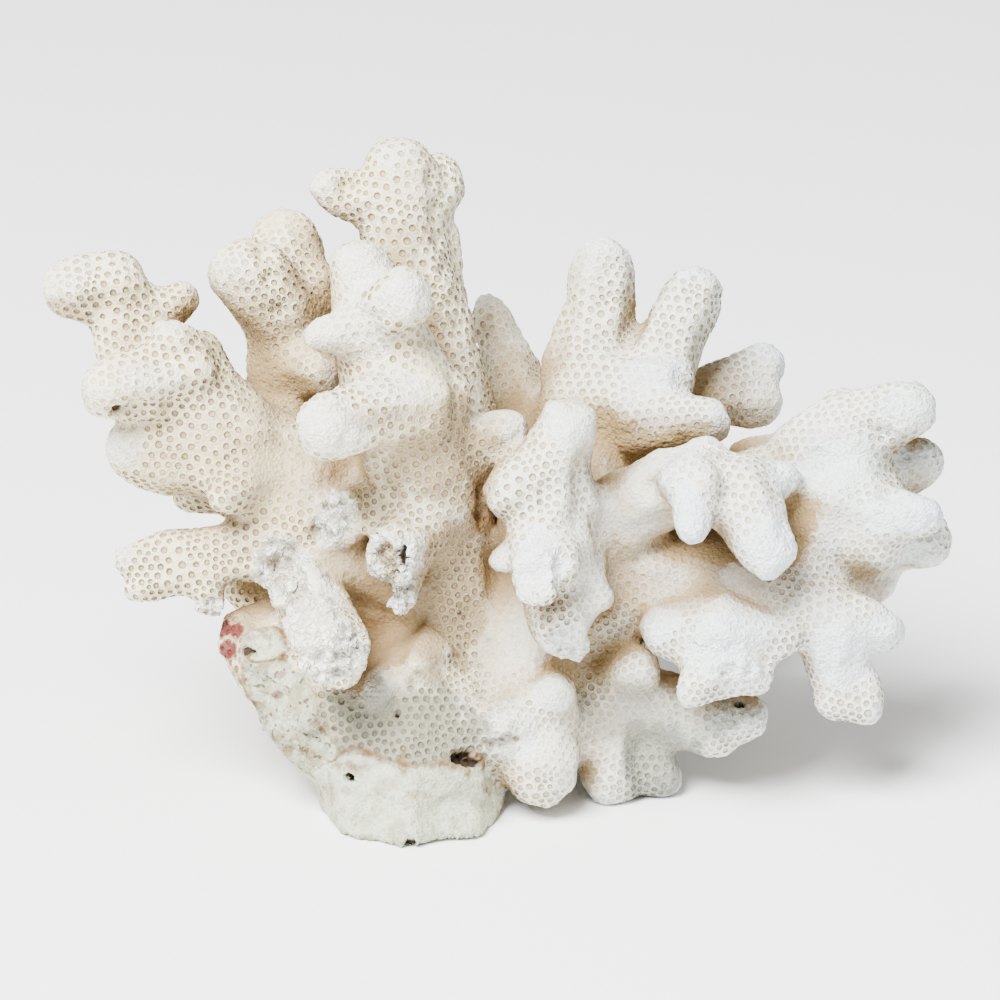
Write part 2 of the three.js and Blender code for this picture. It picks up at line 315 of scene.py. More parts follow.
def wander(places: np.ndarray, length: float, seed: int) -> np.ndarray:
    """Gives smooth noise between -1 and 1 at each place.

    Args:
        places: one row each, in metres.
        length: how far apart the noise's hills are, in metres.
        seed: which noise.

    Returns:
        One value for each place.
    """
    chance = np.random.default_rng(seed)
    shift = chance.uniform(0, 100, 3)
    heights = chance.uniform(-1, 1, NOISE_TABLE)
    scaled = places / length + shift
    lower = np.floor(scaled).astype(np.int64)
    share = scaled - lower
    share = share * share * (3.0 - 2.0 * share)
    total = np.zeros(len(places))
    for corner in np.ndindex(2, 2, 2):
        at = lower + corner
        key = (at[:, 0] * NOISE_KEYS[0]) ^ (at[:, 1] * NOISE_KEYS[1]) ^ (at[:, 2] * NOISE_KEYS[2])
        weight = np.prod(np.where(corner, share, 1.0 - share), axis=1)
        total += weight * heights[key % NOISE_TABLE]
    return total


def between(low: float, high: float, values: np.ndarray) -> np.ndarray:
    """Rises smoothly from 0 where values are low to 1 where they are high."""
    share = np.clip((values - low) / (high - low), 0.0, 1.0)
    return share * share * (3.0 - 2.0 * share)


def rough(places: np.ndarray, layers: Layers, seed: int) -> np.ndarray:
    """Sums layers of noise, each with its length and its height."""
    return sum(amount * wander(places, length, seed + step) for step, (length, amount) in enumerate(layers))


@dataclass
class Skin:
    """The colony's smooth outer surface, before its corallites.

    Attributes:
        swell: how far each limb grows outwards, so that the gaps at the forks close.
        voxel: the size of the blocks that the limbs are joined in.
        soften: how many rounds of smoothing round the facets and fill the forks.
        regain: how many rounds spread the thickness that smoothing took, before it is given back.
        lumps: the length and the height of each layer of unevenness.
        blend: how many rounds even out the normals that presses push along.
        tree: the finished surface, ready for nearest places and rays.
        limb_tree: the solid limbs, ready for nearest places.
        limb_of_face: the limb that each of limb_tree's faces belongs to.
    """

    swell: float = 0.35 * MM
    voxel: float = 0.8 * MM
    soften: int = 14
    regain: int = 12
    lumps: Layers = ((9.0 * MM, 0.6 * MM), (4.2 * MM, 0.45 * MM), (2.1 * MM, 0.2 * MM))
    blend: int = 3
    tree: BVHTree = field(init=False, default=None)
    limb_tree: BVHTree = field(init=False, default=None)
    limb_of_face: list[int] = field(init=False, default_factory=list)

    def copy_limbs(self, limbs: dict[str, bpy.types.Object]) -> bpy.types.Object:
        """Joins copies of all limbs in one object.

        Args:
            limbs: the colony's limbs by name.

        Returns:
            The joined copies.
        """
        copies = []
        corners = []
        faces = []
        for order, (name, limb) in enumerate(limbs.items()):
            mesh = limb.data.copy()
            mesh.materials.clear()
            copy = bpy.data.objects.new(f"skin_{name}", mesh)
            bpy.context.collection.objects.link(copy)
            select_only(copy)
            with edit_mode():
                bpy.ops.mesh.select_all(action="SELECT")
                bpy.ops.mesh.remove_doubles(threshold=MERGE)
                bpy.ops.mesh.normals_make_consistent(inside=False)
                bpy.ops.transform.shrink_fatten(value=self.swell)
            first = len(corners)
            corners += [vertex.co.copy() for vertex in mesh.vertices]
            faces += [[first + number for number in face.vertices] for face in mesh.polygons]
            self.limb_of_face += [order] * len(mesh.polygons)
            copies.append(copy)
        self.limb_tree = BVHTree.FromPolygons(corners, faces)
        select_only(*copies)
        bpy.ops.object.join()
        skin = bpy.context.active_object
        skin.name = "skin"
        return skin

    @staticmethod
    def keep_outside(skin: bpy.types.Object) -> None:
        """Deletes the small shells that the gaps at the forks leave inside."""
        highest = int(np.argmax(coordinates(skin.data)[:, 2]))
        with edit_mode():
            bpy.ops.mesh.select_all(action="DESELECT")
        skin.data.vertices[highest].select = True
        with edit_mode():
            bpy.ops.mesh.select_linked()
            bpy.ops.mesh.select_all(action="INVERT")
            bpy.ops.mesh.delete(type="VERT")

    def round_off(self, skin: bpy.types.Object) -> None:
        """Rounds the facets and fills the forks, and keeps the fingers' thickness."""
        mesh = skin.data
        ends = edge_ends(mesh)
        before = coordinates(mesh)
        after = averaged(before, ends, self.soften)
        move_to(mesh, after)
        outwards = vertex_normals(mesh)
        lost = dots(before - after, outwards)
        lost = np.maximum(averaged(lost, ends, self.regain), 0.0)
        move_to(mesh, after + outwards * lost[:, None])

    def add_lumps(self, skin: bpy.types.Object) -> None:
        """Makes the surface as uneven as grown coral is."""
        mesh = skin.data
        places = coordinates(mesh)
        outwards = vertex_normals(mesh)
        places = places + outwards * rough(places, self.lumps, 0)[:, None]
        places[:, 2] = np.maximum(places[:, 2], 0.0)
        move_to(mesh, places)

    def build(self, limbs: dict[str, bpy.types.Object]) -> bpy.types.Object:
        """Builds the smooth surface round all limbs.

        Args:
            limbs: the colony's limbs by name.

        Returns:
            The surface.
        """
        skin = self.copy_limbs(limbs)
        apply_modifier(skin, "REMESH", mode="VOXEL", voxel_size=self.voxel)
        self.keep_outside(skin)
        self.round_off(skin)
        self.add_lumps(skin)
        places = coordinates(skin.data)
        outwards = averaged(vertex_normals(skin.data), edge_ends(skin.data), self.blend)
        tree = self.tree_of(skin.data)
        for press in PRESSES:
            places = press.move(places, outwards, tree)
        for cut in CUTS:
            places = cut.snap(places, tree)
        places[:, 2] = np.maximum(places[:, 2], 0.0)
        move_to(skin.data, places)
        self.tree = self.tree_of(skin.data)
        log.info("skin: %d vertices", len(skin.data.vertices))
        return skin

    @staticmethod
    def tree_of(mesh: bpy.types.Mesh) -> BVHTree:
        """Makes a mesh ready for nearest places and rays."""
        corners = [vertex.co for vertex in mesh.vertices]
        return BVHTree.FromPolygons(corners, [face.vertices for face in mesh.polygons])


@dataclass
class CellNet:
    """A net of triangles spread evenly over the skin, with one corallite at each corner.

    Attributes:
        wide_spacing: how far apart the corallites of the left and the tall branches are.
        close_spacing: how far apart those of the right branches are.
        foot_spacing: how far apart those near the foot are.
        upper_band: the heights between which the foot's spacing ends.
        left_band: the places across between which the left branches' spacing ends.
        rounds: how often the net is evened out.
        first_spacing: how far apart they are before that, in millimetres.
        longest: the longest edge that is kept, in spacings.
        shortest: the shortest edge that is kept, in spacings.
        stretch: how much longer than before a turned edge may be.
        bend: the least that the normals beside a turned edge agree.
        mesh: the net.
    """

    wide_spacing: float = 2.06 * MM
    close_spacing: float = 1.84 * MM
    foot_spacing: float = 1.68 * MM
    upper_band: tuple[float, float] = (30 * MM, 52 * MM)
    left_band: tuple[float, float] = (5 * MM, 25 * MM)
    rounds: int = 5
    first_spacing: float = 1.75
    longest: float = 1.36
    shortest: float = 0.72
    stretch: float = 1.8
    bend: float = 0.6
    mesh: bmesh.types.BMesh = field(init=False, default=None)

    def spacing(self, places: np.ndarray) -> np.ndarray:
        """Gives how far apart corallites are at each place."""
        high = between(*self.upper_band, places[:, 2])
        left = 1.0 - between(*self.left_band, places[:, 0])
        upper = self.close_spacing + (self.wide_spacing - self.close_spacing) * left
        return self.foot_spacing + (upper - self.foot_spacing) * high

    def edge_middles(self) -> np.ndarray:
        """Gives the middle of each of the net's edges."""
        return np.array([(edge.verts[0].co + edge.verts[1].co) / 2 for edge in self.mesh.edges])

    def split_long(self) -> int:
        """Halves the edges that are too long, and gives how many."""
        net = self.mesh
        limits = self.spacing(self.edge_middles()) * self.longest
        long_edges = [edge for edge, limit in zip(net.edges, limits) if edge.calc_length() > limit]
        for edge in long_edges:
            _, middle = bmesh.utils.edge_split(edge, edge.verts[0], 0.5)
            for face in list(middle.link_faces):
                near = {loop.vert for loop in middle.link_loops if loop.face is face}
                loop = next(loop for loop in face.loops if loop.vert is middle)
                across = loop.link_loop_next.link_loop_next.vert
                if len(face.verts) == 4 and across not in near:
                    bmesh.utils.face_split(face, middle, across)
        return len(long_edges)

    def collapse_short(self) -> int:
        """Merges the ends of edges that are too short, and gives how many."""
        net = self.mesh
        net.verts.index_update()
        spacing = self.spacing(self.edge_middles())
        short = [
            (edge.calc_length(), number)
            for number, edge in enumerate(net.edges)
            if edge.calc_length() < spacing[number] * self.shortest
        ]
        net.edges.ensure_lookup_table()
        touched = set()
        chosen = []
        for _, number in sorted(short):
            edge = net.edges[number]
            first, second = edge.verts
            round_first = {e.other_vert(first).index for e in first.link_edges}
            round_second = {e.other_vert(second).index for e in second.link_edges}
            both = round_first | round_second
            if both & touched or len(round_first & round_second) != 2:
                continue
            if min(len(vert.link_edges) for vert in self.wings(edge)) < 5:
                continue
            touched |= both
            chosen.append(edge)
        bmesh.ops.collapse(net, edges=chosen)
        return len(chosen)

    @staticmethod
    def wings(edge: bmesh.types.BMEdge) -> list[bmesh.types.BMVert]:
        """Gives the corners across from an edge in its two triangles."""
        return [loop.link_loop_prev.vert for loop in edge.link_loops]

    def flip_uneven(self) -> int:
        """Turns the edges that even out how many edges meet at a corner, and gives how many."""
        net = self.mesh
        net.verts.index_update()
        meet = [len(vert.link_edges) for vert in net.verts]
        flips = 0
        for edge in list(net.edges):
            if len(edge.link_loops) != 2:
                continue
            first, second = edge.verts
            third, fourth = self.wings(edge)
            a, b, c, d = first.index, second.index, third.index, fourth.index
            now = abs(meet[a] - 6) + abs(meet[b] - 6) + abs(meet[c] - 6) + abs(meet[d] - 6)
            then = abs(meet[a] - 7) + abs(meet[b] - 7) + abs(meet[c] - 5) + abs(meet[d] - 5)
            if then >= now or meet[a] < 5 or meet[b] < 5:
                continue
            too_long = (fourth.co - third.co).length > self.stretch * (second.co - first.co).length
            if too_long or net.edges.get((third, fourth)) is not None:
                continue
            faces = edge.link_faces
            if faces[0].normal.dot(faces[1].normal) < self.bend:
                continue
            if bmesh.utils.edge_rotate(edge, True) is None:
                continue
            meet[a] -= 1
            meet[b] -= 1
            meet[c] += 1
            meet[d] += 1
            flips += 1
        return flips

    def drop_poor(self) -> int:
        """Takes out the corners where fewer than four edges meet, and gives how many."""
        dropped = 0
        while poor := [vert for vert in self.mesh.verts if len(vert.link_edges) < 4]:
            rings = set()
            alone = []
            for vert in poor:
                around = {edge.other_vert(vert) for edge in vert.link_edges} | {vert}
                if not around & rings:
                    rings |= around
                    alone.append(vert)
            dropped += len(alone)
            bmesh.ops.dissolve_verts(self.mesh, verts=alone)
            bmesh.ops.triangulate(self.mesh, faces=[f for f in self.mesh.faces if len(f.verts) > 3])
        return dropped

    def relax(self, tree: BVHTree, steps: int = 3, share: float = 0.6) -> None:
        """Slides the net's corners over the skin until they are evenly spread.

        Args:
            tree: the skin.
            steps: how often.
            share: how far towards their neighbours' middle they go each time.
        """
        net = self.mesh
        net.verts.index_update()
        ends = np.array([(edge.verts[0].index, edge.verts[1].index) for edge in net.edges])
        places = np.array([vert.co for vert in net.verts])
        for _ in range(steps):
            wanted = averaged(places, ends, 1, share)
            places = np.array([tree.find_nearest(place)[0] for place in wanted])
        for vert, place in zip(net.verts, places):
            vert.co = place
        net.normal_update()

    def build(self, skin: bpy.types.Object, tree: BVHTree) -> None:
        """Spreads the net over the skin.

        Args:
            skin: the smooth surface.
            tree: the same surface, to project on.
        """
        select_only(skin)
        bpy.ops.object.duplicate()
        copy = bpy.context.active_object
        copy.name = "cell_net"
        apply_modifier(copy, "TRIANGULATE")
        area = sum(face.area for face in copy.data.polygons)
        wanted = area / (TRIANGLE_HEIGHT * self.first_spacing**2 * MM**2)
        apply_modifier(copy, "DECIMATE", ratio=2.0 * wanted / len(copy.data.polygons))
        self.mesh = bmesh.new()
        self.mesh.from_mesh(copy.data)
        bmesh.ops.triangulate(self.mesh, faces=self.mesh.faces[:])
        log.info("net: area %.0f mm2, %d corners at first", area / MM**2, len(self.mesh.verts))
        for _ in range(self.rounds):
            split = self.split_long()
            merged = self.collapse_short()
            flips = self.flip_uneven()
            dropped = self.drop_poor()
            self.relax(tree)
            log.info("net: %d split, %d merged, %d turned, %d dropped", split, merged, flips, dropped)
        self.flip_uneven()
        self.drop_poor()
        self.relax(tree)
        loose = [edge for edge in self.mesh.edges if len(edge.link_faces) != 2]
        log.info("net: %d corallites, %d open edges", len(self.mesh.verts), len(loose))
        bpy.ops.object.delete()


@dataclass
class Cells:
    """Where each corallite stands: its middle, its neighbours and how the surface bends there.

    Attributes:
        smallest_patch: the fewest cells that a limb's patch has.
        votes: how often neighbours decide which limb a cell is on.
        own_vote: how much the cell's own limb counts in that.
        broad: how many rounds of smoothing leave only the colony's broad form.
        aslant: a direction that no normal shares, to find one along the skin.
        rays: how many rays feel for the colony round each cell.
        ray_lean: how much the rays favour the way out.
        ray_lift: how far above the skin they start.
        ray_reach: how far they reach.
        middles: each cell's middle on the skin.
        outwards: the skin's normal there.
        sideways: a direction along the skin there.
        limbs: the number of the limb that carries each cell.
        bulge: how far each cell stands out from the colony's broad form, in metres.
        hidden: how much of the light round each cell the colony itself keeps away, 0 to 1.
        ends: the pairs of cells that are neighbours.
        corners: the places where three cells meet.
        outlines: the corners round each cell.
    """

    smallest_patch: int = 14
    votes: int = 4
    own_vote: float = 1.5
    broad: int = 34
    aslant: tuple[float, float, float] = (0.31, 0.27, 0.91)
    rays: int = 26
    ray_lean: float = 1.04
    ray_lift: float = 0.6 * MM
    ray_reach: float = 26 * MM
    middles: np.ndarray = field(init=False, default=None)
    outwards: np.ndarray = field(init=False, default=None)
    sideways: np.ndarray = field(init=False, default=None)
    limbs: np.ndarray = field(init=False, default=None)
    bulge: np.ndarray = field(init=False, default=None)
    hidden: np.ndarray = field(init=False, default=None)
    ends: np.ndarray = field(init=False, default=None)
    corners: np.ndarray = field(init=False, default=None)
    outlines: list[list[int]] = field(init=False, default_factory=list)

    def read_net(self, net: bmesh.types.BMesh, skin: Skin) -> None:
        """Reads the cells' middles, outlines and normals from the net.

        Args:
            net: the net of triangles.
            skin: the smooth surface.
        """
        net.verts.index_update()
        net.faces.index_update()
        self.middles = np.array([vert.co for vert in net.verts])
        self.ends = np.array([(edge.verts[0].index, edge.verts[1].index) for edge in net.edges])
        centres = [skin.tree.find_nearest(face.calc_center_median())[0] for face in net.faces]
        self.corners = np.array(centres)
        for vert in net.verts:
            first = vert.link_loops[0]
            loop = first
            outline = [loop.face.index]
            while (loop := loop.link_loop_prev.link_loop_radial_next) is not first:
                outline.append(loop.face.index)
            self.outlines.append(outline)
        normals = averaged(np.array([vert.normal for vert in net.verts]), self.ends, 1, 0.4)
        self.outwards = unit(normals)
        self.sideways = unit(np.cross(self.outwards, self.aslant))

    def share_out(self, skin: Skin, count: int) -> None:
        """Gives each cell to the limb that it stands on, in patches without stray cells.

        Args:
            skin: the smooth surface, which knows the limbs.
            count: how many limbs there are.
        """
        faces = [skin.limb_tree.find_nearest(middle)[2] for middle in self.middles]
        labels = np.array(skin.limb_of_face)[faces]
        both = np.concatenate([self.ends[:, 0], self.ends[:, 1]])
        other = np.concatenate([self.ends[:, 1], self.ends[:, 0]])
        for _ in range(self.votes):
            votes = np.zeros((len(labels), count))
            np.add.at(votes, (both, labels[other]), 1.0)
            votes[np.arange(len(labels)), labels] += self.own_vote
            labels = votes.argmax(axis=1)
        neighbours = [[] for _ in labels]
        for first, second in self.ends:
            neighbours[first].append(second)
            neighbours[second].append(first)
        seen = np.zeros(len(labels), dtype=bool)
        for start in range(len(labels)):
            if seen[start]:
                continue
            patch = [start]
            seen[start] = True
            for cell in patch:
                for near in neighbours[cell]:
                    if not seen[near] and labels[near] == labels[start]:
                        seen[near] = True
                        patch.append(near)
            if len(patch) < self.smallest_patch:
                near_labels = [labels[near] for cell in patch for near in neighbours[cell]]
                round_it = [label for label in near_labels if label != labels[start]]
                labels[patch] = np.bincount(round_it).argmax()
        self.limbs = labels

    def feel_forms(self, skin: Skin) -> None:
        """Finds which cells stand out on tips, and which lie hidden in forks."""
        broad = averaged(self.middles, self.ends, self.broad)
        self.bulge = dots(self.middles - broad, self.outwards)
        chance = np.random.default_rng(5)
        starts = self.middles + self.outwards * self.ray_lift
        met = np.zeros(len(self.middles))
        for direction in unit(chance.normal(size=(self.rays, 3))):
            ways = unit(self.outwards * self.ray_lean + direction)
            for number, (start, way) in enumerate(zip(starts, ways)):
                if skin.tree.ray_cast(start, way, self.ray_reach)[0] is not None:
                    met[number] += 1.0
        self.hidden = averaged(met / self.rays, self.ends, 1, 0.5)

    def build(self, net: bmesh.types.BMesh, skin: Skin, count: int) -> None:
        """Reads all that the corallites need from the net and the skin.

        Args:
            net: the net of triangles.
            skin: the smooth surface.
            count: how many limbs there are.
        """
        self.read_net(net, skin)
        self.share_out(skin, count)
        self.feel_forms(skin)
        log.info("cells: %s on the limbs, bulge %.2f to %.2f mm", np.bincount(self.limbs),
                 self.bulge.min() / MM, self.bulge.max() / MM)


class Kind(Enum):
    """What a mark on the surface is."""

    CRUST = "smooth hard crust"
    PANEL = "crust in rough, speckled plates"
    BREAK = "raw broken skeleton"
    # Some core marks are also painted shade, in a broken stub's hollow.
    CORE_AND_SHADE = "brown, pitted middle of a break"
    SMOOTH = "worn skeleton without cups"
    WHITE = "bleached growing tip"
    STAIN = "pink or red spot"
    # The green film marks are partly painted shade, darkening the low parts near the floor.
    GREEN = "thin green film"
    # The shade marks are painted shade: warmer, darker colour where the colony lies in shadow.
    SHADE = "warmer, darker skeleton"
    # Some brown edge marks are painted shade, in a recess and in a dark cavity behind a limb.
    RUST_AND_SHADE = "brown, eroded edge"
    HOLE = "bored hole"
    DENT = "shallow hollow"


@dataclass(frozen=True)
class Mark:
    """A patch of wear, of growing tips or of painted shade, placed where the front view shows it.

    Attributes:
        kind: what it is.
        across: its middle, in millimetres across in the leaning view.
        up: its middle, in millimetres up in the leaning view.
        wide: half its width, in millimetres.
        high: half its height, in millimetres.
        deep: how far it reaches away from the eye, in millimetres.
        strength: how strong it is, 0 to 1.
        edge: where it ends and where it is full, as shares of its reach.
        large: the least half size of a mark that frays like a large one, in millimetres.
        frays: how far a small mark's edge frays, and a large one's.
    """

    kind: Kind
    across: float
    up: float
    wide: float
    high: float
    deep: float = 4.0
    strength: float = 1.0
    edge: tuple[float, float] = (1.25, 0.8)
    large: float = 1.0
    frays: tuple[float, float] = (0.16, 0.28)

    def spot(self, skin_tree: BVHTree) -> tuple[Vector, Vector]:
        """Finds the mark's middle on the skin, and the skin's normal there."""
        return VIEW.seen(skin_tree, self.across, self.up)

    def cover(self, skin_tree: BVHTree, leaning: np.ndarray, ragged: np.ndarray) -> np.ndarray:
        """Gives how far the mark covers each place, 0 to 1.

        Args:
            skin_tree: the smooth surface, to find the mark's middle on.
            leaning: the places in the leaning view, in millimetres.
            ragged: noise that frays the mark's edge.

        Returns:
            One value for each place.
        """
        place, _ = self.spot(skin_tree)
        away = VIEW.leaning(np.array([place]))[0, 1]
        off = leaning - np.array([self.across, away, self.up])
        off /= np.array([self.wide, self.deep, self.high])
        far = np.sqrt(off[:, 0] ** 2 + off[:, 1] ** 2 + off[:, 2] ** 2)
        fray = self.frays[min(self.wide, self.high) > self.large]
        return self.strength * between(*self.edge, far + fray * ragged)


